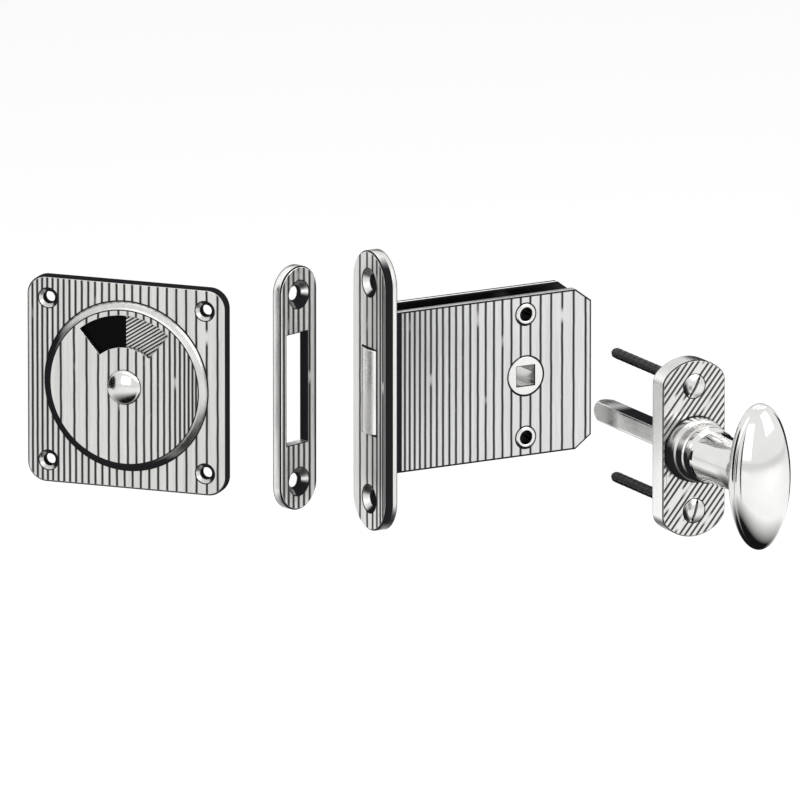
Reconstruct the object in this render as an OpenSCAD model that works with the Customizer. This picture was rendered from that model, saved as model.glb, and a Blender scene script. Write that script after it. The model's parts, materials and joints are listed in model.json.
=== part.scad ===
// Indicator bolt: a mortice privacy bolt with its keep, its indicator plate and its oval turn,
// laid out apart and in line as a fitter would offer them up to the door.
// X runs from the forend back into the door, Y is the door's thickness, Z is up.
// The origin is the middle of the forend's front face.

/* [Case] */
// Height of the side plates
case_h = 49.5; // [46:0.5:56]
// Thickness of the case over both side plates
case_t = 13; // [12:0.5:16]
// Thickness of each side plate
plate_t = 2.2; // [1.5:0.1:2.6]
// From the front of the forend to the axis of the follower
backset = 50; // [48:1:70]
// From the axis of the follower to the back of the case
case_tail = 22.5; // [22:0.5:30]
// Length of the cut at the two rear corners of a side plate
corner_l = 5.4; // [2:0.2:7]
// Height of the cut at the two rear corners of a side plate
corner_h = 4; // [2:0.2:6]
// Spacing of the two through screws, up and down
screw_pitch = 38; // [37:0.5:42]
// Bore of the two ferrules that the through screws pass
ferrule_bore = 4.1; // [3.8:0.1:4.6]
// Rolled rim of a ferrule
ferrule_rim = 6.6; // [6.2:0.2:8]
// Outside of the ferrule where it passes a side plate
ferrule_d = 5.4; // [5.2:0.2:6]
// How far a rolled rim stands out from the side plate
rim_h = 0.4; // [0.2:0.1:0.8]
// Length of the turned-in lugs that are welded to the forend
lug_h = 8; // [5:0.5:9]

/* [Forend] */
// Height of the forend
forend_h = 86; // [84:1:100]
// Width of the forend
forend_w = 20.5; // [19:0.5:26]
// Thickness of the forend
forend_t = 4; // [3:0.5:5]
// Spacing of the two wood screws in the forend
forend_pitch = 66.5; // [62:0.5:72]
// Clearance hole for a wood screw
wood_hole = 4.4; // [4:0.1:5]
// Mouth of its countersink
wood_sink = 8.7; // [8:0.1:10]

/* [Bolt] */
// Height of the bolt
bolt_h = 26; // [22:1:28]
// Thickness of the bolt
bolt_t = 8; // [7:0.2:8.2]
// How far the withdrawn bolt stands out of the forend
bolt_nose = 1.3; // [0.8:0.1:3]
// Length of the bolt head
bolt_l = 21.5; // [20:0.5:22]
// Radius of its rounded end
nose_r = 7.3; // [6:0.1:20]
// Gap round the bolt in the forend, each side
bolt_gap = 0.2; // [0.15:0.05:0.5]
// Thickness of the bolt's tail plate
tail_t = 3; // [2:0.2:3.4]
// Height of the bolt's tail plate
tail_h = 27; // [26:0.5:30]
// Diameter of the guide pin that the tail slides on
guide_d = 3.8; // [3:0.2:4.4]
// From the front of the forend to the guide pin
guide_x = 25.2; // [25:0.2:27]

/* [Follower] */
// Diameter of the follower where it turns in the side plates
hub_d = 11.8; // [11:0.2:12.6]
// Diameter of its shoulder between the side plates
shoulder_d = 13.2; // [12.8:0.2:14]
// From the follower's axis to the centre of its arm's round tip
arm_reach = 9.2; // [8.6:0.1:9.4]
// Radius of the arm's tip
arm_tip_r = 1.6; // [1.3:0.1:1.8]
// Half of the angle that the follower turns through
half_turn = 45; // [40:1:46]
// Free play of the arm's tip in the notch, each side
notch_play = 0.35; // [0.33:0.01:0.6]

/* [Turn] */
// Side of the square spindle
spindle_side = 5.8; // [5:0.1:6]
// How far the spindle reaches behind the front of the rose
spindle_reach = 57; // [46:1:70]
// Height of the rose
rose_h = 53.8; // [50:0.2:62]
// Width of the rose
rose_w = 21.2; // [20.8:0.2:30]
// Thickness of the rose
rose_t = 6.4; // [5.8:0.2:9]
// Radius of the flattened ends of the rose
rose_end_r = 13; // [12:0.5:20]
// Radius that blends the ends into the sides
rose_corner_r = 5; // [3:0.5:7]
// Distance from the middle of the case to the front of the rose
rose_off = 108.6; // [90:0.2:140]
// Base ring of the collar on the rose
collar_d = 19.4; // [19:0.2:20.8]
// Height of that ring
collar_h = 4.4; // [3:0.2:6]
// Upper ring of the collar
collar_top_d = 17.4; // [16:0.2:18.4]
// Height of the whole collar
collar_top_h = 8; // [7:0.2:10]
// Neck of the knob where it leaves its base
neck_d = 15.4; // [14:0.2:16.4]
// Neck of the knob where it meets the oval
neck_end_d = 14; // [12:0.2:15]
// From the front of the rose to the middle of the oval
knob_off = 39; // [34:0.5:46]
// Height of the oval knob
knob_h = 44.4; // [36:0.2:56]
// Width of the oval knob
knob_w = 19.6; // [16:0.2:26]
// Depth of the oval knob, front to back
knob_t = 15.6; // [12:0.2:18]
// Width of the band round the oval's edge
rim_t = 3.4; // [2:0.2:6]
// How far that band stands out from the domes
rim_step = 0.4; // [0.2:0.1:0.8]
// Journal of the knob in the rose
journal_d = 12; // [11:0.2:12.6]
// Shank of the two through screws
screw_d = 3.3; // [3:0.1:3.5]
// How far the through screws reach behind the front of the rose
screw_reach = 48.4; // [38:0.2:60]
// Head of the two through screws
head_d = 7.4; // [6.8:0.1:8]

/* [Keep] */
// Height of the strike plate
strike_h = 75; // [72:1:90]
// Width of the strike plate
strike_w = 16; // [15:0.5:22]
// Thickness of the strike plate
strike_t = 3.2; // [2.5:0.1:4]
// Spacing of its two wood screws
strike_pitch = 57.6; // [56:0.2:62]
// Height of the slot that takes the bolt
slot_h = 34; // [31:0.5:38]
// Width of that slot
slot_w = 9; // [8.6:0.1:9.4]
// How far the slot is set over to one side
slot_shift = 0.8; // [0:0.1:1]

/* [Indicator] */
// Side of the square indicator plate
plate_side = 63.5; // [62:0.5:80]
// Thickness of the indicator plate
face_t = 3.5; // [3.2:0.1:5]
// Radius of its corners
plate_r = 6; // [3:0.5:7]
// Spacing of its four wood screws
plate_pitch = 50; // [49.5:0.5:52]
// Clearance hole for one of them
small_hole = 3.4; // [3:0.1:3.8]
// Mouth of its countersink
small_sink = 6.1; // [5.4:0.1:6.6]
// Diameter of the raised boss at its foot
boss_d = 52; // [51:0.5:53]
// Diameter of the boss's flat face
boss_face_d = 47.6; // [46.8:0.2:48.6]
// Height of the boss
boss_rise = 2; // [1.6:0.1:3]
// Wall of the boss's face
boss_wall = 1.6; // [1.2:0.1:2]
// Inner radius of the window
window_in = 12.2; // [11:0.2:13]
// Outer radius of the window
window_out = 22; // [20:0.2:22.2]
// Half of the window's angle
window_half = 40; // [30:1:42]
// Thickness of the indicator disc
disc_t = 1.2; // [0.8:0.1:1.3]
// Domed head of the centre rivet
rivet_d = 10.6; // [8:0.2:12]
// Height of that dome
rivet_h = 1.9; // [1.2:0.1:3]
// Thickness of the cover behind the disc
cover_t = 1.2; // [1:0.1:1.4]
// How far the threaded posts stand behind the plate
post_l = 7; // [5:0.5:10]
// Outside of a threaded post
post_d = 8; // [7:0.2:9]

/* [Layout] */
// Middle of the strike plate, from the forend's face
strike_at = [-16.7, 13.1, 0];
// Turn of the strike plate about the upright
strike_yaw = 17.5; // [0:0.5:30]
// Middle of the indicator plate, from the forend's face
indicator_at = [-57.8, 42.9, 0];
// Turn of the indicator plate about the upright
indicator_yaw = -49; // [-70:0.5:-30]

/* [Hidden] */
$fn = 96;

// Running gap of a shaft in its bearing
run_gap = 0.06;
// Gap between faces that slide past each other
slide_gap = 0.15;
// Gap that keeps a loose fit free
free_gap = 0.3;
// Small overlap that makes a cut clean
eps = 0.01;
// Bevel on the front edges of the plates
edge_bevel = 0.5;

gap_t = case_t - 2 * plate_t;
follower_x = backset;
case_back = backset + case_tail;
throw = 2 * arm_reach * sin(half_turn);
arm_x = arm_reach * sin(half_turn);
arm_neck = 2 * arm_tip_r - 1;
window_half_h = shoulder_d / 2 + free_gap;
notch_half = arm_tip_r + notch_play;
notch_top = arm_reach + arm_tip_r + free_gap;
tail_back = follower_x + throw + window_half_h + 1.6;
head_back = bolt_l - bolt_nose;
tongue_l = 9;
guide_slot_r = guide_d / 2 + slide_gap;
guide_collar_w = 3;
guide_collar_d = guide_d + guide_collar_w;
guide_washer_t = gap_t / 2 - tail_t / 2 - slide_gap;
rivet_pin_d = 2.4;
head_rivet_x = head_back - tongue_l / 2;
head_rivet_z = bolt_h / 4;

spring_w = 5;
spring_t = 0.5;
spring_l = 15;
spring_rise = gap_t / 2 - tail_t / 2 - spring_t - slide_gap;
spring_z = (guide_slot_r + tail_h / 2) / 2 + 0.3;
spring_ahead = 7;
spring_x = guide_x + spring_ahead;
spring_bow_r = (pow(spring_l / 2, 2) + pow(spring_rise, 2)) / (2 * spring_rise);
spring_foot = 4;

socket_side = spindle_side + 2 * slide_gap;
hub_end = case_t / 2;

rose_front = -rose_off;
rose_recess = 3;
bore_back = rose_t - rose_recess;
washer_t = 1;
washer_d = 17.4;
clip_t = 0.8;
clip_groove = 0.9;
journal_back = rose_t - 0.5;
groove_at = bore_back + washer_t + slide_gap;
spindle_in = 17;
pin_d = 1.8;
pin_at = 3;
knob_base_h = collar_top_h + slide_gap;
knob_base_top = knob_base_h + 2.8;
knob_neck_in = 3;
csk_h = 2.2;
dome_h = 0.9;
slot_cut = 0.9;
slot_depth = 1.1;
screw_neck_d = screw_d + 0.5;
screw_neck_l = rose_t + 0.6;
screw_hole_d = screw_neck_d + 0.2;
upper_slot_turn = 30;
lower_slot_turn = 18;

pocket_d = boss_face_d - 0.8;
pocket_floor = face_t + boss_rise - boss_wall;
disc_d = pocket_d - 2 * free_gap;
inlay_t = 0.25;
inlay_gap = 0.3;
disc_front = pocket_floor - inlay_gap - inlay_t;
sector_in = window_in - 1.2;
sector_out = disc_d / 2 - 0.2;
sector_span = 88;
hub_stem_d = 13.2;
hub_stem_back = 5;
socket_depth = 6.4;
socket_floor = socket_depth - hub_stem_back;
cover_d = pocket_d + 2.4;
stud_d = 4.6;
spring_washer_d = 10;
thread_d = screw_d + 0.1;

module strike_place() {
    translate(strike_at) rotate([0, 0, strike_yaw]) children();
}

module indicator_place() {
    translate(indicator_at) rotate([0, 0, indicator_yaw]) children();
}

module forend_place() {
    rotate([0, 0, -90]) translate([0, forend_t, 0]) children();
}

module turn_place() {
    translate([follower_x, rose_front, 0]) children();
}

// A round piece along Y, from y0 to y1
module rod_y(d, y0, y1) {
    translate([0, y1, 0]) rotate([90, 0, 0]) cylinder(d = d, h = y1 - y0);
}

// A turned piece on the Y axis: each point is a radius and a distance forward
module turned_y(points) {
    rotate([90, 0, 0]) rotate_extrude() polygon(points);
}

// A screw hole with its countersink in a front face at y = -t
module sunk_hole(hole_d, sink_d, t) {
    sink_h = (sink_d - hole_d) / 2;
    rod_y(hole_d, -t - eps, eps);
    translate([0, -t + sink_h, 0]) rotate([90, 0, 0])
        cylinder(d1 = hole_d, d2 = sink_d, h = sink_h);
    rod_y(sink_d, -t - eps, -t + eps);
}

// Half width and depth of a plate's section, with bevelled front edges
function bevelled(half, t) = [
    [-half, 0], [half, 0], [half, -t + edge_bevel], [half - edge_bevel, -t],
    [-half + edge_bevel, -t], [-half, -t + edge_bevel]
];

// The bevelled disc that rounds a plate's end or corner
module round_end(r, t) {
    turned_y([[0, 0], [r, 0], [r, t - edge_bevel], [r - edge_bevel, t], [0, t]]);
}

// A flat plate with half-round ends, its back on y = 0
module slim_plate(w, h, t) {
    linear_extrude(height = h - w, center = true) polygon(bevelled(w / 2, t));
    for (s = [-1, 1]) translate([0, 0, s * (h - w) / 2]) round_end(w / 2, t);
}

// A square plate with rounded corners, its back on y = 0
module square_plate(side, r, t) {
    reach = side / 2 - r;
    linear_extrude(height = 2 * reach, center = true) polygon(bevelled(side / 2, t));
    rotate([0, 90, 0]) linear_extrude(height = 2 * reach, center = true)
        polygon(bevelled(side / 2, t));
    for (sx = [-1, 1], sz = [-1, 1]) translate([sx * reach, 0, sz * reach]) round_end(r, t);
}

// Outline of the rose: straight sides, flattened round ends, blended corners
module rose_outline() {
    end_z = rose_h / 2 - rose_end_r;
    corner_x = rose_w / 2 - rose_corner_r;
    corner_z = end_z + sqrt(pow(rose_end_r - rose_corner_r, 2) - pow(corner_x, 2));
    square([rose_w, 2 * corner_z], center = true);
    for (s = [-1, 1]) {
        for (sx = [-1, 1]) translate([sx * corner_x, s * corner_z]) circle(r = rose_corner_r);
        intersection() {
            translate([0, s * end_z]) circle(r = rose_end_r);
            polygon([
                [0, s * end_z],
                [2 * corner_x, s * (2 * corner_z - end_z)],
                [0, s * rose_h],
                [-2 * corner_x, s * (2 * corner_z - end_z)]
            ]);
        }
    }
}

// A piece of a ring between two radii and two angles, counted clockwise from the upright
module ring_sector(r_in, r_out, from, to) {
    middle = (from + to) / 2;
    half = (to - from) / 2;
    far = r_out / cos(half / 2) + 1;
    difference() {
        intersection() {
            circle(r = r_out);
            polygon([
                [0, 0],
                far * [sin(from), cos(from)],
                far * [sin(middle), cos(middle)],
                far * [sin(to), cos(to)]
            ]);
        }
        circle(r = r_in);
    }
}

// Outline of a side plate, with its two rear corners cut
module side_outline() {
    h = case_h / 2;
    polygon([
        [forend_t, -h], [case_back - corner_l, -h], [case_back, -h + corner_h],
        [case_back, h - corner_h], [case_back - corner_l, h], [forend_t, h]
    ]);
}

// A side plate whose outer face is at y = side * case_t / 2, with lugs turned in at the front
module side_plate(side) {
    outer = side * case_t / 2;
    lug_w = case_t / 2 - slide_gap;
    difference() {
        union() {
            translate([0, outer - side * plate_t / 2, 0]) rotate([90, 0, 0])
                linear_extrude(height = plate_t, center = true) side_outline();
            for (s = [-1, 1])
                translate([
                    forend_t + plate_t / 2,
                    outer - side * lug_w / 2,
                    s * (case_h / 2 - 1 - lug_h / 2)
                ])
                    cube([plate_t, lug_w, lug_h], center = true);
        }
        translate([follower_x, 0, 0]) rod_y(hub_d + 2 * run_gap, -case_t, case_t);
        for (s = [-1, 1]) translate([follower_x, 0, s * screw_pitch / 2])
            rod_y(ferrule_d, -case_t, case_t);
        if (side > 0) translate([guide_x, 0, 0]) rod_y(guide_d, -case_t, case_t);
    }
}

module forend() {
    color("silver") forend_place() difference() {
        slim_plate(forend_w, forend_h, forend_t);
        cube([bolt_t + 2 * bolt_gap, 3 * forend_t, bolt_h + 2 * bolt_gap], center = true);
        for (s = [-1, 1]) translate([0, 0, s * forend_pitch / 2])
            sunk_hole(wood_hole, wood_sink, forend_t);
    }
}

module case_plate_near() {
    color("lightgray") side_plate(-1);
}

module case_plate_far() {
    color("darkgray") side_plate(1);
}

// A ferrule: a spacer between the side plates, with its ends rolled over outside them
module ferrule(s) {
    spacer_d = ferrule_rim;
    outer = case_t / 2 + rim_h;
    color("gainsboro") translate([follower_x, 0, s * screw_pitch / 2]) difference() {
        union() {
            rod_y(spacer_d, -gap_t / 2, gap_t / 2);
            rod_y(ferrule_d, -case_t / 2, case_t / 2);
            for (side = [-1, 1]) turned_y([
                [0, side * case_t / 2],
                [ferrule_rim / 2, side * case_t / 2],
                [ferrule_rim / 2 - rim_h / 2, side * outer],
                [0, side * outer]
            ]);
        }
        rod_y(ferrule_bore, -case_t, case_t);
    }
}

module ferrule_upper() {
    ferrule(1);
}

module ferrule_lower() {
    ferrule(-1);
}

// The guide pin is riveted into the far side plate and reaches across the case
module guide_pin() {
    color("dimgray") translate([guide_x, 0, 0]) {
        rod_y(guide_d, -gap_t / 2, case_t / 2);
        rod_y(guide_collar_d, tail_t / 2 + slide_gap, gap_t / 2);
    }
}

module guide_washer() {
    color("gray") translate([guide_x, -tail_t / 2 - slide_gap, 0]) difference() {
        rod_y(guide_collar_d, -guide_washer_t, 0);
        rod_y(guide_d, -2 * guide_washer_t, eps);
    }
}

// Plan of the bolt head, with its rounded end
module head_plan() {
    nose_centre = -bolt_nose + nose_r;
    intersection() {
        translate([-bolt_nose, -bolt_t / 2]) square([bolt_l, bolt_t]);
        union() {
            translate([nose_centre, 0]) circle(r = nose_r);
            translate([nose_centre, -bolt_t / 2]) square([bolt_l, bolt_t]);
        }
    }
}

module bolt_head() {
    color("goldenrod") difference() {
        linear_extrude(height = bolt_h, center = true) head_plan();
        translate([head_back - tongue_l, -tail_t / 2, -bolt_h])
            cube([2 * tongue_l, tail_t, 2 * bolt_h]);
        for (s = [-1, 1]) translate([head_rivet_x, 0, s * head_rivet_z])
            rod_y(rivet_pin_d, -bolt_t, bolt_t);
    }
}

// The tail: a tongue in the head, a slot on the guide pin and a window round the follower,
// with a notch in the window's upper edge for the follower's arm
module bolt_tail() {
    tongue_front = head_back - tongue_l;
    tail_l = tail_back - head_back;
    color("steelblue") difference() {
        union() {
            translate([tongue_front, -tail_t / 2, -bolt_h / 2])
                cube([tongue_l + eps, tail_t, bolt_h]);
            translate([head_back, -tail_t / 2, -tail_h / 2]) cube([tail_l, tail_t, tail_h]);
        }
        for (s = [-1, 1]) translate([head_rivet_x, 0, s * head_rivet_z])
            rod_y(rivet_pin_d, -bolt_t, bolt_t);
        for (x = [guide_x, guide_x + throw]) translate([x, 0, 0])
            rod_y(2 * guide_slot_r, -tail_t, tail_t);
        translate([guide_x, -tail_t, -guide_slot_r]) cube([throw, 2 * tail_t, 2 * guide_slot_r]);
        for (x = [follower_x, follower_x + throw]) translate([x, 0, 0])
            rod_y(2 * window_half_h, -tail_t, tail_t);
        translate([follower_x, -tail_t, -window_half_h])
            cube([throw, 2 * tail_t, 2 * window_half_h]);
        translate([follower_x + arm_x - notch_half, -tail_t, 0])
            cube([2 * notch_half, 2 * tail_t, notch_top]);
        translate([spring_x, 0, spring_z]) rod_y(rivet_pin_d, -tail_t, tail_t);
    }
}

module tail_rivets() {
    color("darkgoldenrod") for (s = [-1, 1]) translate([head_rivet_x, 0, s * head_rivet_z])
        rod_y(rivet_pin_d, -bolt_t / 2, bolt_t / 2);
}

// The bow spring: a flat foot riveted to the tail, and two arms bowed up to rub on the side plate
module bow_spring() {
    base = -tail_t / 2;
    color("lightsteelblue") translate([spring_x, base, spring_z]) difference() {
        linear_extrude(height = spring_w, center = true) {
            translate([-spring_foot, -spring_t]) square([2 * spring_foot, spring_t]);
            for (s = [-1, 1]) intersection() {
                translate([s * spring_foot, -spring_bow_r])
                    difference() {
                        circle(r = spring_bow_r);
                        circle(r = spring_bow_r - spring_t);
                    }
                translate([
                    s > 0 ? spring_foot : -spring_foot - spring_l / 2,
                    -spring_rise - spring_t
                ])
                    square([spring_l / 2, spring_rise + spring_t]);
            }
        }
        rod_y(rivet_pin_d, -tail_t, tail_t);
    }
}

module spring_rivet() {
    color("dimgray") translate([spring_x, 0, spring_z]) {
        rod_y(rivet_pin_d, -tail_t / 2 - spring_t, tail_t / 2);
        translate([0, -tail_t / 2 - spring_t, 0])
            turned_y([[0, 0], [2.1, 0], [1.4, 0.9], [0, 1.1]]);
    }
}

// The follower: a hub that turns in both side plates, with a square hole and one arm
module follower() {
    color("darkkhaki") translate([follower_x, 0, 0]) difference() {
        union() {
            rod_y(hub_d, -hub_end, hub_end);
            rod_y(shoulder_d, -gap_t / 2 + slide_gap, gap_t / 2 - slide_gap);
            rotate([0, half_turn, 0]) {
                translate([-arm_neck / 2, -tail_t / 2, 0]) cube([arm_neck, tail_t, arm_reach]);
                translate([0, 0, arm_reach]) rod_y(2 * arm_tip_r, -tail_t / 2, tail_t / 2);
            }
        }
        cube([socket_side, 2 * case_t, socket_side], center = true);
    }
}

module strike_plate() {
    color("silver") strike_place() translate([0, strike_t, 0]) difference() {
        slim_plate(strike_w, strike_h, strike_t);
        translate([-slot_shift, 0, 0]) cube([slot_w, 3 * strike_t, slot_h], center = true);
        for (s = [-1, 1]) translate([0, 0, s * strike_pitch / 2])
            sunk_hole(wood_hole, wood_sink, strike_t);
    }
}

// The rose and its collar, in which the knob's journal turns
module rose() {
    color("silver") turn_place() difference() {
        union() {
            translate([0, rose_t, 0]) rotate([90, 0, 0]) linear_extrude(height = rose_t)
                rose_outline();
            turned_y([
                [0, -1], [collar_d / 2, -1], [collar_d / 2, collar_h - 1.2],
                [collar_d / 2 - 0.4, collar_h - 0.4], [collar_top_d / 2, collar_h],
                [collar_top_d / 2, collar_top_h - 0.5], [collar_top_d / 2 - 0.5, collar_top_h],
                [0, collar_top_h]
            ]);
        }
        rod_y(journal_d + 2 * run_gap, -2 * collar_top_h, 2 * rose_t);
        rod_y(washer_d + 2 * free_gap, bore_back, 2 * rose_t);
        for (s = [-1, 1]) translate([0, 0, s * screw_pitch / 2]) {
            rod_y(screw_hole_d, -rose_t, 2 * rose_t);
            translate([0, csk_h, 0]) rotate([90, 0, 0])
                cylinder(d1 = screw_hole_d, d2 = head_d, h = csk_h);
        }
    }
}

// The hole for the pin that holds the spindle in the knob
module cross_hole() {
    translate([0, -pin_at, 0]) rotate([0, 90, 0])
        cylinder(d = pin_d, h = 2 * journal_d, center = true);
}

// Section of the rounded band that runs round the oval
function oval_rim() = [
    [0, -rim_t * 0.2], [knob_h / 2 - 1.6, -rim_t / 2], [knob_h / 2 - 0.7, -rim_t * 0.47],
    [knob_h / 2 - 0.2, -rim_t * 0.32], [knob_h / 2, -rim_t * 0.12],
    [knob_h / 2, rim_t * 0.12], [knob_h / 2 - 0.2, rim_t * 0.32],
    [knob_h / 2 - 0.7, rim_t * 0.47], [knob_h / 2 - 1.6, rim_t / 2], [0, rim_t * 0.2]
];

// The knob: a journal with a clip groove, a turned neck and a polished oval
module knob() {
    neck_back = knob_off - knob_t / 2 + knob_neck_in;
    color("white") turn_place() difference() {
        union() {
            turned_y([
                [0, -journal_back], [journal_d / 2, -journal_back],
                [journal_d / 2, -groove_at - clip_t],
                [journal_d / 2 - clip_groove, -groove_at - clip_t],
                [journal_d / 2 - clip_groove, -groove_at],
                [journal_d / 2, -groove_at], [journal_d / 2, knob_base_h],
                [collar_top_d / 2 - 0.6, knob_base_h],
                [collar_top_d / 2 - 0.2, knob_base_h + 0.5],
                [collar_top_d / 2 - 0.2, knob_base_top - 0.6],
                [collar_top_d / 2 - 0.6, knob_base_top],
                [neck_d / 2 + 0.2, knob_base_top + 0.4], [neck_d / 2, knob_base_top + 1],
                [neck_end_d / 2, neck_back], [0, neck_back]
            ]);
            translate([0, -knob_off, 0]) {
                scale([(knob_w - 2 * rim_step) / knob_h, knob_t / knob_h, 1 - 2 * rim_step / knob_h])
                    sphere(d = knob_h);
                scale([knob_w / knob_h, 1, 1]) turned_y(oval_rim());
            }
        }
        translate([-spindle_side / 2, -spindle_in, -spindle_side / 2])
            cube([spindle_side, 2 * spindle_in, spindle_side]);
        cross_hole();
    }
}

// The square spindle, with a bullet tip
module spindle() {
    tip_r = spindle_side * 0.9;
    body = spindle_in + spindle_reach;
    color("gainsboro") turn_place() difference() {
        intersection() {
            translate([-spindle_side / 2, -spindle_in, -spindle_side / 2])
                cube([spindle_side, body, spindle_side]);
            union() {
                rod_y(2 * spindle_side, -spindle_in - 1, spindle_reach - tip_r);
                translate([0, spindle_reach - tip_r, 0]) sphere(r = tip_r);
            }
        }
        cross_hole();
    }
}

module spindle_pin() {
    color("dimgray") turn_place() translate([0, -pin_at, 0]) rotate([0, 90, 0])
        cylinder(d = pin_d, h = journal_d - 2 * slide_gap, center = true);
}

module knob_washer() {
    color("gray") turn_place() difference() {
        rod_y(washer_d, bore_back + slide_gap / 2, bore_back + slide_gap / 2 + washer_t);
        rod_y(journal_d + 2 * run_gap, 0, 2 * rose_t);
    }
}

// A snap ring in the journal's groove, open on one side
module knob_circlip() {
    ring_d = journal_d + 3;
    color("dimgray") turn_place() difference() {
        rod_y(ring_d, groove_at, groove_at + clip_t);
        rod_y(journal_d - 2 * clip_groove, 0, 2 * rose_t);
        translate([0, 0, -ring_d]) cube([journal_d / 2, 4 * rose_t, 2 * ring_d], center = true);
    }
}

// A raised countersunk screw with a slot, its shank running back along Y
module rose_screw(s, slot_turn) {
    tip_r = screw_d / 2;
    color("gainsboro") turn_place() translate([0, 0, s * screw_pitch / 2]) difference() {
        turned_y([
            [0, dome_h], [head_d / 5, dome_h - 0.1], [head_d / 3, dome_h * 0.6],
            [head_d / 2, 0], [screw_neck_d / 2, -csk_h * 0.98],
            [screw_neck_d / 2, -screw_neck_l + 0.3], [tip_r, -screw_neck_l],
            [tip_r, -screw_reach + tip_r * 0.7],
            [tip_r * 0.7, -screw_reach + 0.3], [0, -screw_reach]
        ]);
        rotate([0, slot_turn, 0]) translate([0, -dome_h, 0])
            cube([slot_cut, 2 * slot_depth, 2 * head_d], center = true);
    }
}

module rose_screw_upper() {
    rose_screw(1, upper_slot_turn);
}

module rose_screw_lower() {
    rose_screw(-1, lower_slot_turn);
}

// The indicator plate: a square plate with a raised round boss, hollow behind, and a window
module indicator_plate() {
    top = face_t + boss_rise;
    color("silver") indicator_place() difference() {
        union() {
            square_plate(plate_side, plate_r, face_t);
            turned_y([
                [0, 0], [boss_d / 2, 0], [boss_d / 2, face_t],
                [boss_d / 2 - 0.5, face_t + boss_rise * 0.45],
                [boss_face_d / 2 + 0.6, top - 0.25], [boss_face_d / 2, top], [0, top]
            ]);
        }
        rod_y(pocket_d, -pocket_floor, eps);
        rod_y(cover_d, -cover_t, eps);
        rod_y(stud_d + 2 * run_gap, -2 * top, eps);
        rotate([90, 0, 0]) linear_extrude(height = 2 * top)
            ring_sector(window_in, window_out, -window_half, window_half);
        for (sx = [-1, 1], sz = [-1, 1])
            translate([sx * plate_pitch / 2, 0, sz * plate_pitch / 2])
                sunk_hole(small_hole, small_sink, face_t);
    }
}

// The cover let into the back, with two threaded posts for the through screws
module indicator_cover() {
    color("gray") indicator_place() difference() {
        union() {
            rod_y(cover_d, -cover_t, 0);
            for (s = [-1, 1]) translate([0, 0, s * screw_pitch / 2]) rod_y(post_d, -cover_t, post_l);
        }
        rod_y(hub_stem_d + 2 * free_gap, -face_t, face_t);
        for (s = [-1, 1]) translate([0, 0, s * screw_pitch / 2])
            rod_y(thread_d, -2 * cover_t, 2 * post_l);
    }
}

// The disc and its stem, with a square socket that the spindle enters from behind.
// Half way between its two ends of travel, the socket stands on its corner.
module indicator_disc() {
    color("ivory") indicator_place() difference() {
        union() {
            rod_y(disc_d, -disc_front, -disc_front + disc_t);
            rod_y(hub_stem_d, -disc_front, hub_stem_back);
        }
        rotate([0, half_turn, 0])
            translate([-socket_side / 2, -socket_floor, -socket_side / 2])
                cube([socket_side, 2 * socket_depth, socket_side]);
        rod_y(stud_d, -2 * disc_front, hub_stem_back);
    }
}

module sector_inlay(from, to) {
    indicator_place() rotate([90, 0, 0]) translate([0, 0, disc_front])
        linear_extrude(height = inlay_t) ring_sector(sector_in, sector_out, from, to);
}

module engaged_sector() {
    color("black") sector_inlay(-sector_span, 0);
}

module vacant_sector() {
    color("white") sector_inlay(0, sector_span);
}

// The domed rivet on the front, whose stud carries the disc
module centre_rivet() {
    top = face_t + boss_rise;
    under = top + slide_gap;
    color("white") indicator_place() turned_y([
        [0, socket_floor], [stud_d / 2, socket_floor], [stud_d / 2, under],
        [rivet_d / 2, under], [rivet_d / 2, under + 0.3],
        [rivet_d * 0.42, under + rivet_h * 0.62], [rivet_d * 0.27, under + rivet_h * 0.88],
        [rivet_d * 0.12, under + rivet_h], [0, under + rivet_h]
    ]);
}

module spring_washer() {
    color("dimgray") indicator_place() difference() {
        rod_y(spring_washer_d, -pocket_floor, -disc_front - run_gap);
        rod_y(stud_d + 2 * free_gap, -2 * pocket_floor, pocket_floor);
    }
}

forend();
case_plate_near();
case_plate_far();
ferrule_upper();
ferrule_lower();
guide_pin();
guide_washer();
bolt_head();
bolt_tail();
tail_rivets();
bow_spring();
spring_rivet();
follower();
strike_plate();
rose();
knob();
spindle();
spindle_pin();
knob_washer();
knob_circlip();
rose_screw_upper();
rose_screw_lower();
indicator_plate();
indicator_cover();
indicator_disc();
engaged_sector();
vacant_sector();
centre_rivet();
spring_washer();
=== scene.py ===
# Indicator bolt: the finished look of its four units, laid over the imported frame.
# Sizes in the dictionaries are millimetres; the frame and every mesh are in metres.
import json
import math
import bmesh
import bpy
from mathutils import Matrix, Vector, geometry


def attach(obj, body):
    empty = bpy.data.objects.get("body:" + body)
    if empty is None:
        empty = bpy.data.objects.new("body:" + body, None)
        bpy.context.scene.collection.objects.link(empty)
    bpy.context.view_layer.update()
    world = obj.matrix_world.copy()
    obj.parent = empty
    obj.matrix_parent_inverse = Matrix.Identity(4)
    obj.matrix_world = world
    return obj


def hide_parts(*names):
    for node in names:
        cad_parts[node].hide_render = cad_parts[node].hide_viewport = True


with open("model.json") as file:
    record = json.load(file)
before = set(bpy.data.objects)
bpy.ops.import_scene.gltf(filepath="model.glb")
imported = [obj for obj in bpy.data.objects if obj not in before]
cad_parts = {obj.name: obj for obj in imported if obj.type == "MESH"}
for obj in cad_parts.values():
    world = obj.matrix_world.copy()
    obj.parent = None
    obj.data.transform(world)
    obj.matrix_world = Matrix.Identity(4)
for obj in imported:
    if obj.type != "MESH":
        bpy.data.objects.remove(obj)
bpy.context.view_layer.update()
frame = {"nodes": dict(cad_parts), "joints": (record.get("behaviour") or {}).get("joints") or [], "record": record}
mm = 0.001
joints = {j["name"]: j for j in frame["joints"]}
mounts = {m["name"]: m for m in frame["record"]["mounts"]}
nodes = frame["nodes"]
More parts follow.
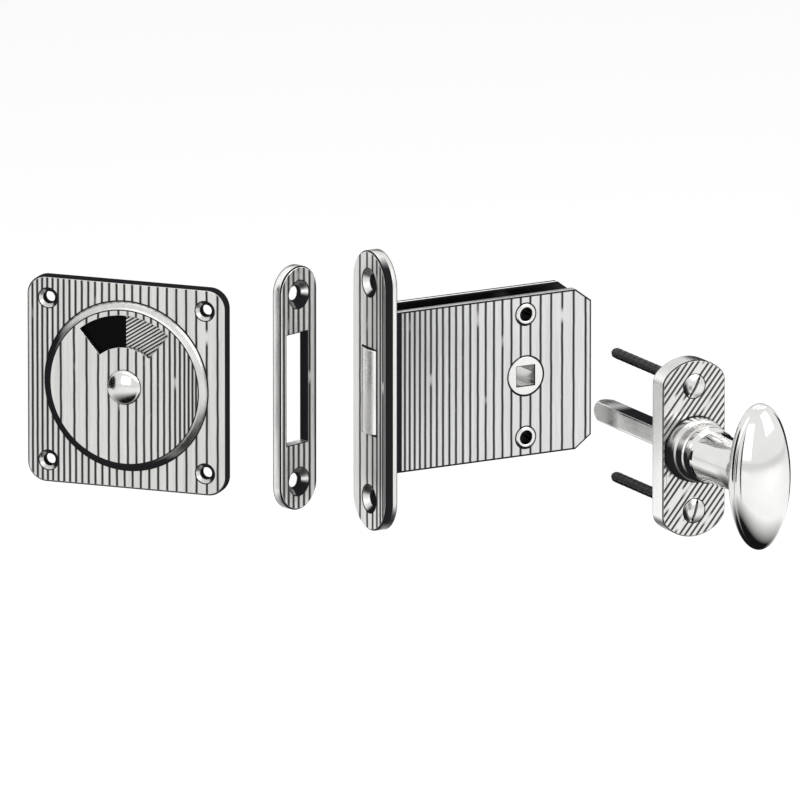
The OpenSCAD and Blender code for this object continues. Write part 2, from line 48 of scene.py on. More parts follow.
print("frame loaded:", len(nodes), "nodes")


# Places: each unit has its own u (across), v (up) and w (out of its front face), in millimetres
def placeFacing(origin, outward, up=(0, 0, 1)):
    w, v = Vector(outward).normalized(), Vector(up).normalized()
    turn = Matrix((v.cross(w), v, w)).transposed().to_4x4()
    return Matrix.Translation(Vector(origin)) @ turn @ Matrix.Scale(mm, 4)


strikeSeat = mounts["strike_screws"]
indicatorJoint = joints["indicator_turn"]
forendPlace = placeFacing((0, 0, 0), (-1, 0, 0))
strikePlace = placeFacing(strikeSeat["pos_m"], strikeSeat["axis"])
indicatorPlace = placeFacing(indicatorJoint["pos_m"], -Vector(indicatorJoint["axis"]))
turnPlace = placeFacing(joints["knob_turn"]["pos_m"], (0, -1, 0))
followerPlace = placeFacing(joints["follower_turn"]["pos_m"], (0, -1, 0))
nearPlace = placeFacing((0, 0, 0), (0, -1, 0))
farPlace = placeFacing((0, 0, 0), (0, 1, 0))
boltPlace = placeFacing((0, 0, 0), (0, 0, 1), (0, 1, 0))


# Outlines: a chain of arcs that grows or shrinks evenly, for straight-sided and round shapes
def arcLoop(arcs):
    def loopAt(grow):
        points = []
        for cx, cy, radius, sign, start, end, steps in arcs:
            reach = max(radius + sign * grow, 0.02)
            for k in range(steps + 1):
                angle = math.radians(start + (end - start) * k / steps)
                points.append((cx + reach * math.cos(angle), cy + reach * math.sin(angle)))
        return points
    return loopAt


def circleLoop(radius, cx=0.0, cy=0.0, steps=64):
    return arcLoop([(cx, cy, radius, 1, 0, 360 - 360 / steps, steps - 1)])


def roundedRectLoop(width, height, radius, cx=0.0, cy=0.0, steps=6):
    a, b = width / 2 - radius, height / 2 - radius
    corners = [(a, b, 0), (-a, b, 90), (-a, -b, 180), (a, -b, 270)]
    return arcLoop([(cx + x, cy + y, radius, 1, s, s + 90, steps) for x, y, s in corners])


def stadiumLoop(width, height, steps=40):
    reach = (height - width) / 2
    return arcLoop([(0, reach, width / 2, 1, 0, 180, steps), (0, -reach, width / 2, 1, 180, 360, steps)])


def cornerLoop(points, radius, steps=4):  # a convex polygon, counter-clockwise, with soft corners
    arcs = []
    count = len(points)
    for i in range(count):
        before, corner, after = (Vector(points[(i + k) % count]) for k in (-1, 0, 1))
        normals = [Vector((d.y, -d.x)).normalized() for d in (corner - before, after - corner)]
        middle = (normals[0] + normals[1]).normalized()
        centre = corner - middle * radius / middle.dot(normals[0])
        start, end = (math.degrees(math.atan2(n.y, n.x)) for n in normals)
        if end < start:
            end += 360
        arcs.append((centre.x, centre.y, radius, 1, start, end, steps))
    return arcLoop(arcs)


def sectorLoop(inner, outer, half, corner, steps=40):  # the window: a piece of a ring about the top
    swing = math.degrees(math.asin(corner / (outer - corner)))
    lean = math.degrees(math.asin(corner / (inner + corner)))

    def at(radius, angle):
        return radius * math.sin(math.radians(angle)), radius * math.cos(math.radians(angle))

    highRight, highLeft = (at(outer - corner, s * (half - swing)) for s in (1, -1))
    lowRight, lowLeft = (at(inner + corner, s * (half - lean)) for s in (1, -1))
    return arcLoop([
        (0, 0, outer, 1, 90 - half + swing, 90 + half - swing, steps),
        (*highLeft, corner, 1, 90 + half - swing, 180 + half, 5),
        (*lowLeft, corner, 1, 180 + half, 270 + half - lean, 5),
        (0, 0, inner, -1, 90 + half - lean, 90 - half + lean, steps),
        (*lowRight, corner, 1, 270 - half + lean, 360 - half, 5),
        (*highRight, corner, 1, 360 - half, 450 - half + swing, 5),
    ])


# Sections: corner points with soft corners, and a held point each side so that flats stay flat
straight = math.radians(178)
mostOfSide = 0.42


def softSection(points, radius, hold=0.04, steps=4):
    points = [p for i, p in enumerate(points) if i == 0 or math.dist(p[:2], points[i - 1][:2]) > 1e-6]
    soft = [tuple(points[0][:2])]
    for i in range(1, len(points) - 1):
        last, corner, following = (Vector(p[:2]) for p in points[i - 1:i + 2])
        toLast, toNext = last - corner, following - corner
        bend = points[i][2] if len(points[i]) > 2 else radius
        angle = toLast.angle(toNext)
        if bend <= 0 or angle > straight:
            soft.append(tuple(corner))
            continue
        cut = min(bend / math.tan(angle / 2), mostOfSide * toLast.length, mostOfSide * toNext.length)
        away = cut * math.tan(angle / 2) / math.sin(angle / 2)
        centre = corner + (toLast.normalized() + toNext.normalized()).normalized() * away
        first, end = corner + toLast.normalized() * cut, corner + toNext.normalized() * cut
        if toLast.length * 0.5 > cut + hold:
            soft.append(tuple(first + toLast.normalized() * hold))
        a, b = first - centre, end - centre
        turn = a.angle(b)
        for k in range(steps + 1):
            share = k / steps
            p = centre + (a * math.sin((1 - share) * turn) + b * math.sin(share * turn)) / math.sin(turn)
            soft.append(tuple(p))
        if toNext.length * 0.5 > cut + hold:
            soft.append(tuple(end + toNext.normalized() * hold))
    soft.append(tuple(points[-1][:2]))
    return soft


class Shell:  # gathers rings of points into one closed mesh, in the place of its unit
    def __init__(self, place):
        self.place = place
        self.bm = bmesh.new()

    def ring(self, points, w):
        return [self.bm.verts.new(self.place @ Vector((p[0], p[1], w))) for p in points]

    def bridge(self, a, b):
        for i in range(len(a)):
            j = (i + 1) % len(a)
            corners = list(dict.fromkeys([a[i], a[j], b[j], b[i]]))
            if len(corners) > 2:
                self.bm.faces.new(corners)

    def fill(self, rings):  # a flat face bounded by the first ring, with the others as holes
        back = self.place.inverted()
        flat = [[(back @ v.co).xy.to_3d() for v in ring] for ring in rings]
        verts = [v for ring in rings for v in ring]
        for triangle in geometry.tessellate_polygon(flat):
            corners = [verts[k] for k in triangle]
            if len(set(corners)) == 3 and not self.bm.faces.get(corners):
                self.bm.faces.new(corners)

    def joined(self, rings):
        for a, b in zip(rings, rings[1:]):
            self.bridge(a, b)
        return rings[0], rings[-1]

    def walls(self, loopAt, section):  # rings of one outline along a section of (grow, w)
        return self.joined([self.ring(loopAt(grow), w) for grow, w in section])

    def turned(self, section, steps, stretch=(1.0, 1.0)):  # rings about the middle, or a pole
        rings = []
        turns = [2 * math.pi * k / steps for k in range(steps)]
        for radius, w in section:
            if radius < 1e-6:
                rings.append(self.ring([(0.0, 0.0)], w) * steps)
            else:
                across, along = radius * stretch[0], radius * stretch[1]
                rings.append(self.ring([(across * math.cos(t), along * math.sin(t)) for t in turns], w))
        return self.joined(rings)

    def plate(self, loopAt, section, holes=()):  # an outline with a section, and holes with theirs
        front, back = self.walls(loopAt, section)
        ends = [self.walls(holeLoop, holeSection) for holeLoop, holeSection in holes]
        self.fill([front] + [e[0] for e in ends])
        self.fill([back] + [e[1] for e in ends])

    def finish(self, name):
        bmesh.ops.remove_doubles(self.bm, verts=self.bm.verts, dist=1e-8)
        bmesh.ops.recalc_face_normals(self.bm, faces=self.bm.faces)
        mesh = bpy.data.meshes.new(name)
        self.bm.to_mesh(mesh)
        self.bm.free()
        mesh.polygons.foreach_set("use_smooth", [True] * len(mesh.polygons))
        piece = bpy.data.objects.new(name, mesh)
        bpy.context.scene.collection.objects.link(piece)
        return piece


def plateSection(thickness, bevel, soft, front=0.0, backBevel=0.12):
    back = front - thickness
    return softSection([(-bevel - 0.5, front), (-bevel, front, soft), (0, front - bevel, soft),
                        (0, back + backBevel, 0), (-backBevel, back, 0), (-0.6, back)], soft)


def holeSection(thickness, front=0.0, lip=0.12):  # grow is counted from the hole's own edge
    back = front - thickness
    return softSection([(0.5, front), (0, front, lip), (0, back, lip), (0.5, back)], lip)


def sunkSection(hole, mouth, thickness, front=0.0):  # grow is counted from the hole's radius
    sink = (mouth - hole) / 2
    back = front - thickness
    return softSection([(sink + 0.35, front), (sink, front, 0.1), (0, front - sink, 0.12),
                        (0, back, 0.1), (0.3, back)], 0.1)


def dress(piece, body, material, replaced):
    piece.data.materials.clear()
    piece.data.materials.append(material)
    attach(piece, body)
    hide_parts(*replaced)


# Materials: every finish reads Object coordinates, so it stays on its piece as that moves
# the near black of the painted shade in corners and holes
paintedCornerShadeTone = (0.03, 0.03, 0.03, 1.0)
openness = (0.2, 0.92)  # from a deep corner to an open face
plainNoise = (0.3, 0.7)  # the values that a noise mostly keeps between


class NodeTree:
    def __init__(self, name):
        self.material = bpy.data.materials.new(name)
        self.material.use_nodes = True
        self.nodes = self.material.node_tree.nodes
        self.links = self.material.node_tree.links
        self.shader = self.nodes["Principled BSDF"]
        coordinates = self.nodes.new("ShaderNodeTexCoord")
        self.place, self.normal = coordinates.outputs["Object"], coordinates.outputs["Normal"]

    def add(self, kind, inputs, output=0, **settings):
        made = self.nodes.new(kind)
        for key, value in settings.items():
            setattr(made, key, value)
        for key, value in inputs.items():
            if isinstance(value, bpy.types.NodeSocket):
                self.links.new(value, made.inputs[key])
            else:
                made.inputs[key].default_value = value
        return made.outputs[output]

    def math(self, operation, a, b=0.0, c=0.0):
        return self.add("ShaderNodeMath", {0: a, 1: b, 2: c}, operation=operation)

    def dot(self, a, b):
        return self.add("ShaderNodeVectorMath", {0: a, 1: tuple(b)}, 1, operation="DOT_PRODUCT")

    def between(self, value, low, high, soft=0.05):  # 1 inside the band, 0 outside
        rise = self.remap(value, low - soft, low + soft)
        return self.math("MULTIPLY", rise, self.remap(value, high - soft, high + soft, 1.0, 0.0))

    def remap(self, value, low, high, toLow=0.0, toHigh=1.0):
        return self.add("ShaderNodeMapRange", {"Value": value, "From Min": low, "From Max": high,
                                               "To Min": toLow, "To Max": toHigh},
                        interpolation_type="SMOOTHSTEP")

    def noise(self, scale, detail=3.0, stretch=(1, 1, 1), roughness=0.5):
        spread = self.add("ShaderNodeMapping", {"Vector": self.place, "Scale": stretch})
        return self.add("ShaderNodeTexNoise", {"Vector": spread, "Scale": scale, "Detail": detail,
                                               "Roughness": roughness})

    def mix(self, factor, a, b):  # 6 and 7 are the colour sockets, and 2 is their result
        return self.add("ShaderNodeMix", {0: factor, 6: a, 7: b}, 2, data_type="RGBA")

    def paintedCornerShade(self, tone, reach, depth):  # painted shade: darker in corners and holes, from ambient occlusion
        clear = self.add("ShaderNodeAmbientOcclusion", {"Distance": reach * mm}, "AO", samples=12)
        return self.mix(self.remap(clear, *openness, depth, 0.0), tone, paintedCornerShadeTone)

    def joinTo(self, socket, value):
        self.links.new(value, self.shader.inputs[socket])

    def spread(self, socket, value, middle, low, high):  # a socket that wavers about its middle
        self.joinTo(socket, self.remap(value, *plainNoise, middle * low, middle * high))

    def bump(self, height, distance, strength, under=None):
        inputs = {"Height": height, "Distance": distance, "Strength": strength}
        if under is not None:
            inputs["Normal"] = under
        return self.add("ShaderNodeBump", inputs)


def shade(value, factor=1.0):
    return (value[0] * factor, value[1] * factor, value[2] * factor, 1.0)


def inFrame(place, axis):  # a direction of a unit, in the frame
    return place.to_3x3() @ Vector(axis) / mm


# Linishing lines run across one direction, and their spacing grows evenly from one side, so that they also paint a
# shade that deepens where they crowd
leastGap = 0.4  # millimetres between two lines
waver = 0.07  # how far a line strays, as a share of the gap
breakPitch = 55.0  # how often a line breaks off, along its length
flatFacing = (0.93, 0.985)  # only faces that look straight out take lines


def linishLinesAndShade(tree, values):
    place, spacing = values["place"], values["spacing"]
    across, along, face = (inFrame(place, values[key]) for key in ("across", "along", "face"))
    reach = tree.math("MULTIPLY_ADD", tree.dot(tree.place, across), 1 / mm,
                      -place.translation.dot(across) / mm - values["from"])
    gap = tree.math("MAXIMUM", tree.math("MULTIPLY_ADD", reach, values["growth"], spacing), leastGap)
    count = tree.math("LOGARITHM", tree.math("MULTIPLY", gap, 1 / spacing), math.e)
    count = tree.math("MULTIPLY", count, 1 / values["growth"])
    count = tree.math("MULTIPLY_ADD", tree.noise(160, 1.0), waver, count)
    offCentre = tree.math("ABSOLUTE", tree.math("SUBTRACT", tree.math("FRACT", count), 0.5))
    distance = tree.math("MULTIPLY", tree.math("SUBTRACT", 0.5, offCentre), gap)
    line = tree.remap(distance, values["width"] * 0.3, values["width"], 1.0, 0.0)
    spot = tree.add("ShaderNodeCombineXYZ", {
        "X": tree.math("FLOOR", tree.math("ADD", count, 0.5)),
        "Y": tree.math("MULTIPLY", tree.dot(tree.place, along), breakPitch)})
    breaks = tree.add("ShaderNodeTexNoise", {"Vector": spot, "Scale": 1.3, "Detail": 1.0})
    line = tree.math("MULTIPLY", line, tree.remap(breaks, values["breaks"] - 0.06, values["breaks"] + 0.04))
    facing = tree.dot(tree.normal, face)
    if "insideAt" in values:  # both side plates have their lines
        facing = tree.math("ABSOLUTE", facing)
    line = tree.math("MULTIPLY", line, tree.remap(facing, *flatFacing))
    if values.get("onFlat"):  # lines end where the flat face does
        flat = place.translation.dot(face)
        depth = tree.dot(tree.place, face)
        line = tree.math("MULTIPLY", line, tree.remap(depth, flat + 0.3 * mm, flat + 0.5 * mm, 1.0, 0.0))
    return line


# Zones: parts of a piece, told by place, depth and facing in its unit, that take their own tone, mostly painted
# shade and a few painted highlights
def zoneMask(tree, place, zone):
    turn = [inFrame(place, axis).normalized() for axis in ((1, 0, 0), (0, 1, 0), (0, 0, 1))]
    u, v, w = (tree.math("SUBTRACT", tree.dot(tree.place, axis / mm), place.translation.dot(axis) / mm)
               for axis in turn)
    if zone.get("mirrored"):
        u, v = tree.math("ABSOLUTE", u), tree.math("ABSOLUTE", v)
    masks = []
    if zone.get("about"):  # a band along a rounded box, its corner radius last
        sides = []
        for spot, middle, half in zip((u, v), zone["about"], zone["box"]):
            off = tree.math("ABSOLUTE", tree.math("SUBTRACT", spot, middle))
            sides.append(tree.math("MAXIMUM", tree.math("SUBTRACT", off, half), 0.0))
        square = tree.math("MULTIPLY_ADD", sides[0], sides[0], tree.math("MULTIPLY", sides[1], sides[1]))
        distance = tree.math("SUBTRACT", tree.math("SQRT", square), zone["box"][2])
        masks.append(tree.between(distance, *zone["band"]))
    if "beyond" in zone:  # past a slanting line
        slope, limit = zone["beyond"]
        reach = tree.math("MULTIPLY_ADD", u, slope[0], tree.math("MULTIPLY", v, slope[1]))
        masks.append(tree.remap(reach, limit - 0.05, limit + 0.05))
    if "depth" in zone:
        masks.append(tree.between(w, *zone["depth"], zone.get("fade", 0.03)))
    if "facing" in zone:  # a direction, and the shares of it where the zone starts and is full
        toward, low, high = zone["facing"]
        aim = sum((axis * share for axis, share in zip(turn, toward)), Vector())
        masks.append(tree.remap(tree.dot(tree.normal, aim.normalized()), low, high))
    mask = masks[0]
    for other in masks[1:]:
        mask = tree.math("MULTIPLY", mask, other)
    return tree.math("MULTIPLY", mask, zone.get("amount", 1.0))


def toneZones(tree, tone, line, values):  # lines and painted-shade zones are matt
    matt = [] if line is None else [tree.math("MULTIPLY", line, values["lineDepth"])]
    for zone in values.get("zones", []):
        mask = zoneMask(tree, values["place"], zone)
        tone = tree.mix(mask, tone, shade(zone["tone"]))
        if zone["tone"] == paintedShadeTone:
            matt.append(mask)
    tree.shader.inputs["Metallic"].default_value = 1.0
    tree.shader.inputs["Specular IOR Level"].default_value = 0.0
    if matt:
        most = matt[0]
        for mask in matt[1:]:
            most = tree.math("MAXIMUM", most, mask)
        tree.joinTo("Metallic", tree.math("SUBTRACT", 1.0, most))
    return tone


lineInk = (0.022, 0.022, 0.024)
# painted shade: the near black of shaded sides, dark reflections on rounded edges, and shadows in holes, slots and
# corners
paintedShadeTone = (0.02, 0.02, 0.022)
# painted highlight white, for faces turned to the light; the strike and the bolt also take it as their whole tone,
# a lighter copy of the nickel
lit = (0.95, 0.945, 0.93)
nickel = (0.68, 0.675, 0.66)
topEdge = ((0, 1, 0), 0.7, 0.95)  # faces that look up
leftSide = ((-1, 0, 0), 0.5, 0.9)
grainDepth, lineGroove, hairlineDepth = 0.00001, 0.00005, 0.000004
satinLook = {"grain": 0.12, "roughness": 0.30, "across": (1, 0, 0), "along": (0, 1, 0), "face": (0, 0, 1),
             "lineDepth": 0.97, "breaks": 0.3, "lineTone": lineInk, "paintedCornerShade": (2.6, 0.9)}
polishLook = {"stretch": (1, 1, 1), "scratch": 0.35, "paintedCornerShade": (1.0, 0.95)}


def boxOf(width, height, corner=0.0):
    return width / 2 - corner, height / 2 - corner, corner


def paintedShadeZone(about, box, band, **more):  # a painted-shade zone along an outline; a plain number for box is a circle
    return {"about": about, "box": box if isinstance(box, tuple) else (0, 0, box), "band": band,
            "tone": paintedShadeTone, **more}


def sunkZones(values, spot, front, low, shadow, throat=0.45, lip=0.15):  # painted shade on the shaded side, the throat and the rim of countersunk holes
    hole, mouth = values["hole"] / 2, values["mouth"] / 2
    return [paintedShadeZone(spot, hole, (-0.2, mouth - hole - 0.05), depth=(low, front - 0.1), facing=shadow,
                  mirrored=True),
            paintedShadeZone(spot, hole, (-0.2, throat), depth=(low, front + 1), mirrored=True),
            paintedShadeZone(spot, mouth, (-lip, 0.2), depth=(front - 0.6, front + 1), mirrored=True)]


def satinMetal(name, chosen):
    tree = NodeTree(name)
    values = {**satinLook, **chosen}
    place = values["place"]
    lengthwise = [0.015 if abs(c) > 0.7 else 1.0 for c in inFrame(place, values["along"])]
    fine = tree.noise(5200, 2.0, lengthwise)
    broad = tree.noise(620, 3.0, lengthwise)
    cloud = tree.noise(28, 2.0)
    line = linishLinesAndShade(tree, values)
    if "inner" in values:  # a raised middle has lines of its own, which crowd towards the other side and so paint its shade the other way
        middle = zoneMask(tree, place, values["inner"]["zone"])
        inside = linishLinesAndShade(tree, {**values, **values["inner"]})
        line = tree.add("ShaderNodeMapRange", {"Value": middle, "To Min": line, "To Max": inside})
    grain = tree.math("MULTIPLY_ADD", fine, 0.55, tree.math("MULTIPLY", broad, 0.45))
    tone = tree.mix(tree.remap(grain, 0.36, 0.64), shade(values["tone"], 1 - values["grain"]),
                    shade(values["tone"], 1 + values["grain"] * 0.5))
    if "insideAt" in values:  # painted shade: the inner faces of the case plates are near black, so the gap between them reads dark
        depth = tree.math("ABSOLUTE", tree.dot(tree.place, inFrame(place, values["face"])))
        inside = tree.remap(depth, values["insideAt"] * mm, (values["insideAt"] + 0.15) * mm, 1.0, 0.0)
        line = tree.math("MULTIPLY", line, tree.math("SUBTRACT", 1.0, inside))
    tone = tree.mix(tree.math("MULTIPLY", line, values["lineDepth"]), tone, shade(values["lineTone"]))
    if "insideAt" in values:
        tone = tree.mix(inside, tone, shade(values["insideShadeTone"]))
    tone = toneZones(tree, tone, line, values)
    tree.joinTo("Base Color", tree.paintedCornerShade(tone, *values["paintedCornerShade"]))
    rough = tree.math("MULTIPLY_ADD", cloud, 0.4, tree.math("MULTIPLY", grain, 0.6))
    tree.spread("Roughness", rough, values["roughness"], 0.82, 1.18)
    low = tree.bump(grain, grainDepth, 0.5)
    tree.joinTo("Normal", tree.bump(tree.math("SUBTRACT", 1.0, line), lineGroove, 0.5, low))
    return tree.material


def polishedMetal(name, chosen):
    tree = NodeTree(name)
    values = {**polishLook, **chosen}
    smear = tree.noise(95, 4.0, (1, 1, 1), 0.6)
    hairline = tree.noise(2600, 2.0, values["stretch"])
    tone = tree.mix(tree.remap(smear, 0.35, 0.7), shade(values["tone"]), shade(values["tone"], 0.94))
    tone = toneZones(tree, tone, None, values)
    tree.joinTo("Base Color", tree.paintedCornerShade(tone, *values["paintedCornerShade"]))
    rough = tree.math("MULTIPLY_ADD", hairline, 0.5, tree.math("MULTIPLY", smear, 0.5))
    tree.spread("Roughness", rough, values["roughness"], 0.7, 1.4)
    tree.joinTo("Normal", tree.bump(hairline, hairlineDepth, values["scratch"]))
    return tree.material


def oiledSteel(name, values):
    tree = NodeTree(name)
    scale = tree.noise(260, 5.0, (1, 1, 1), 0.62)
    speck = tree.noise(1900, 2.0)
    tone = tree.mix(tree.remap(scale, 0.38, 0.66), shade(values["tone"], 0.86), shade(values["tone"], 1.1))
    tone = tree.mix(tree.remap(speck, 0.62, 0.7), tone, shade(values["tone"], 0.6))
    tree.joinTo("Base Color", tone)
    tree.spread("Roughness", scale, values["roughness"], 0.88, 1.15)
    tree.joinTo("Normal", tree.bump(speck, grainDepth, 0.4, tree.bump(scale, grainDepth, 0.3)))
    tree.shader.inputs["Metallic"].default_value = 1.0
    return tree.material


def enamel(name, values):
    tree = NodeTree(name)
    ripple = tree.noise(700, 3.0)
    base = tree.mix(tree.remap(ripple, 0.35, 0.65), shade(values["tone"], 0.93), shade(values["tone"], 1.05))
    if "stripe" in values:
        stripe = values["stripe"]
        across = tree.dot(tree.place, stripe["axis"] / mm)
        phase = tree.math("FRACT", tree.math("MULTIPLY_ADD", across, 1 / stripe["pitch"], stripe["shift"]))
        edge = tree.math("ABSOLUTE", tree.math("SUBTRACT", phase, 0.5))
        ragged = tree.math("MULTIPLY_ADD", tree.noise(1500, 2.0), 0.05, edge)
        half = stripe["share"] / 2 + 0.025
        mask = tree.remap(ragged, half - 0.04, half + 0.04, 1.0, 0.0)
        base = tree.mix(mask, base, shade(stripe["tone"]))
        relief = tree.bump(mask, 0.00002, 0.4, tree.bump(ripple, 0.00002, 0.15))
    else:
        relief = tree.bump(ripple, 0.00003, 0.2)
    tree.joinTo("Normal", relief)
    tree.joinTo("Base Color", base)
    tree.spread("Roughness", ripple, values["roughness"], 0.85, 1.2)
    tree.shader.inputs["Specular IOR Level"].default_value = values["gloss"]
    tree.shader.inputs["Coat Weight"].default_value = values["gloss"] * 0.4
    tree.shader.inputs["Coat Roughness"].default_value = 0.12
    return tree.material


print("places and finishes ready")


# Forend and strike: round-ended plates, two countersunk holes and an opening for the bolt
forend = {"width": 20.5, "height": 86.0, "thick": 4.0, "front": 0.0, "bevel": 0.5, "soft": 0.22,
          "pitch": 66.5, "hole": 4.4, "mouth": 8.7, "opening": (8.4, 26.4), "openingCorner": 0.12,
          "openingShift": 0.0}
strike = {"width": 16.0, "height": 75.0, "thick": 3.2, "front": 3.2, "bevel": 0.5, "soft": 0.22,
          "pitch": 57.6, "hole": 4.4, "mouth": 8.7, "opening": (9.0, 34.0), "openingCorner": 0.25,
          "openingShift": -0.8}
forendEdge = boxOf(forend["width"], forend["height"], forend["width"] / 2)
strikeEdge = boxOf(strike["width"], strike["height"], strike["width"] / 2)
slotMiddle, slotBox = (strike["openingShift"], 0), boxOf(*strike["opening"])
sunkShadow = ((-0.5, 0.85, 0), 0.3, 0.55)
forendMetal = satinMetal("satinNickelForend", {
    "tone": (0.78, 0.775, 0.76), "from": -5.45, "spacing": 4.9, "growth": -0.25, "width": 0.8,
    "place": forendPlace, "zones": [
        # painted shade: the rounded front edge, the right-facing edge, the back edge, the countersinks and the
        # opening's walls
        paintedShadeZone((0, 0), forendEdge, (-0.42, 2), depth=(-0.5, 1)),
        paintedShadeZone((0, 0), forendEdge, (-0.42, 2), depth=(-2.5, 1), facing=((1, 0, 0), 0.4, 0.8)),
        paintedShadeZone((0, 0), forendEdge, (-0.1, 2), depth=(-5, -3.7)),
        *sunkZones(forend, (0, forend["pitch"] / 2), 0, -3.6, sunkShadow),
        paintedShadeZone((0, 0), boxOf(*forend["opening"]), (-0.3, 0.3), depth=(-3.8, 1)),
    ]})
strikeMetal = satinMetal("satinNickelStrike", {
    "tone": lit, "grain": 0.08, "from": -6.4, "spacing": 1.95, "growth": 0.05, "width": 0.8,
    "place": strikePlace, "zones": [
        # painted shade: the rounded front edge, the back edge, the countersinks, the slot's left-facing wall and
        # its rim
        paintedShadeZone((0, 0), strikeEdge, (-0.42, 2), depth=(2.7, 4)),
        paintedShadeZone((0, 0), strikeEdge, (-0.1, 2), depth=(-1, 0.35)),
        *sunkZones(strike, (0, strike["pitch"] / 2), strike["front"], 0.3, sunkShadow),
        paintedShadeZone(slotMiddle, slotBox, (-0.5, 0.2), depth=(0.1, 3.3), facing=((-1, 0, 0), 0.4, 0.8)),
        paintedShadeZone(slotMiddle, slotBox, (0.0, 0.3), depth=(3.0, 4)),
    ]})


def buildFacePlate(name, place, values):
    front, thick = values["front"], values["thick"]
    opening = roundedRectLoop(*values["opening"], values["openingCorner"], values["openingShift"], 0, 3)
    sunk = sunkSection(values["hole"], values["mouth"], thick, front)
    holes = [(circleLoop(values["hole"] / 2, 0, s * values["pitch"] / 2, 56), sunk) for s in (-1, 1)]
    shell = Shell(place)
    shell.plate(stadiumLoop(values["width"], values["height"]),
                plateSection(thick, values["bevel"], values["soft"], front),
                holes + [(opening, holeSection(thick, front))])
    return shell.finish(name)


forendPlate = buildFacePlate("forendPlate", forendPlace, forend)
strikePlate = buildFacePlate("strikePlate", strikePlace, strike)
dress(forendPlate, "case", forendMetal, ["forend"])
dress(strikePlate, "case", strikeMetal, ["strike_plate"])
print("forend and strike built")

# Case: two side plates with cut corners and turned-in lugs
case = {"height": 49.5, "half": 6.5, "thick": 2.2, "front": 4.0, "back": 72.5, "cut": (5.4, 4.0),
        "follower": 50.0, "hub": 11.92, "ferrule": 5.4, "pitch": 38.0, "guide": 25.2, "guidePin": 3.8,
        "lug": 8.0, "lugInset": 1.0, "lugGap": 0.15, "soft": 0.16}
caseMiddle = ((case["front"] + case["back"]) / 2, 0)
caseBox = boxOf(case["back"] - case["front"], case["height"], 1.0)
outerFace = ((0, 0, 1), 0.5, 0.9)
caseMetal = satinMetal("rolledSteelCase", {
    "tone": (0.67, 0.675, 0.67), "roughness": 0.34, "from": 8.7, "spacing": 1.6, "growth": 0.042,
    "width": 0.58, "insideAt": 4.35, "insideShadeTone": (0.03, 0.03, 0.033), "paintedCornerShade": (2.0, 0.85),
    "place": nearPlace, "zones": [
        # painted highlight on both plates' top edges, with the outer half of the far plate's top edge in painted
        # shade
        {"depth": (4.5, 9), "facing": topEdge, "tone": lit},
        {"depth": (-9, -4.5), "facing": topEdge, "tone": lit},
        {"depth": (-9, -5.35), "facing": topEdge, "tone": paintedShadeTone},
        # painted shadow of the forend on the near plate
        paintedShadeZone((4.0, 0), (0, 30, 3.6), (-9, 0), facing=((0, 0, 1), 0.7, 0.95)),
        # painted shade along the outer edges, on the cut corners and round the hub and ferrule holes
        paintedShadeZone(caseMiddle, caseBox, (-0.55, 2), facing=outerFace),
        {"beyond": ((0.595, 0.8036), 59.3), "mirrored": True, "facing": outerFace, "tone": paintedShadeTone},
        paintedShadeZone((case["follower"], 0), case["hub"] / 2, (-0.3, 0.4)),
        paintedShadeZone((case["follower"], case["pitch"] / 2), 3.3, (-0.3, 0.35), mirrored=True),
    ]})


def buildSidePlate(name, place, facing, values):
    top, cut, front, back = values["height"] / 2, values["cut"], values["front"], values["back"]
    thick, face, spindleAt = values["thick"], values["half"], values["follower"]
    outline = [(front, -top), (back - cut[0], -top), (back, -top + cut[1]), (back, top - cut[1]),
               (back - cut[0], top), (front, top)]
    if facing < 0:  # seen from its own side, the far plate runs the other way
        outline = [(-x, y) for x, y in reversed(outline)]
    shell = Shell(place)
    through = [(spindleAt, 0, values["hub"], 96)]
    through += [(spindleAt, s * values["pitch"] / 2, values["ferrule"], 56) for s in (-1, 1)]
    if facing < 0:
        through.append((values["guide"], 0, values["guidePin"], 40))
    section = holeSection(thick, face, 0.08)
    holes = [(circleLoop(d / 2, facing * x, y, n), section) for x, y, d, n in through]
    shell.plate(cornerLoop(outline, 0.35), plateSection(thick, 0.0, values["soft"], face, 0.0), holes)
    lugSection = softSection([(-0.4, face - 0.3), (0, face - 0.3), (0, values["lugGap"]),
                              (-0.4, values["lugGap"])], 0.12)
    for s in (-1, 1):
        middle = s * (top - values["lugInset"] - values["lug"] / 2)
        across = facing * (front + thick / 2)
        shell.plate(roundedRectLoop(thick - 0.04, values["lug"], 0.15, across, middle, 3), lugSection)
    return shell.finish(name)


nearPlate = buildSidePlate("nearSidePlate", nearPlace, 1, case)
farPlate = buildSidePlate("farSidePlate", farPlace, -1, case)
dress(nearPlate, "case", caseMetal, ["case_plate_near"])
dress(farPlate, "case", caseMetal, ["case_plate_far"])
print("side plates built")


# Node trees are written as nodes by name, and links as "node.socket > node.socket"
def wire(tree, parts, links):
    made = {}
    for name, part in parts.items():
        kind, settings = part if isinstance(part, tuple) else (part, {})
        made[name] = tree.nodes.new(kind)
        for key, value in settings.items():  # small letters are the node's own settings
            if isinstance(key, str) and key[0].islower():
                setattr(made[name], key, value)
            else:
                made[name].inputs[key].default_value = value
    for link in links:
        (start, leaving), (end, entering) = (side.split(".") for side in link.split(" > "))
        leaving, entering = (int(s) if s.isdigit() else s for s in (leaving, entering))
        tree.links.new(made[start].outputs[leaving], made[end].inputs[entering])


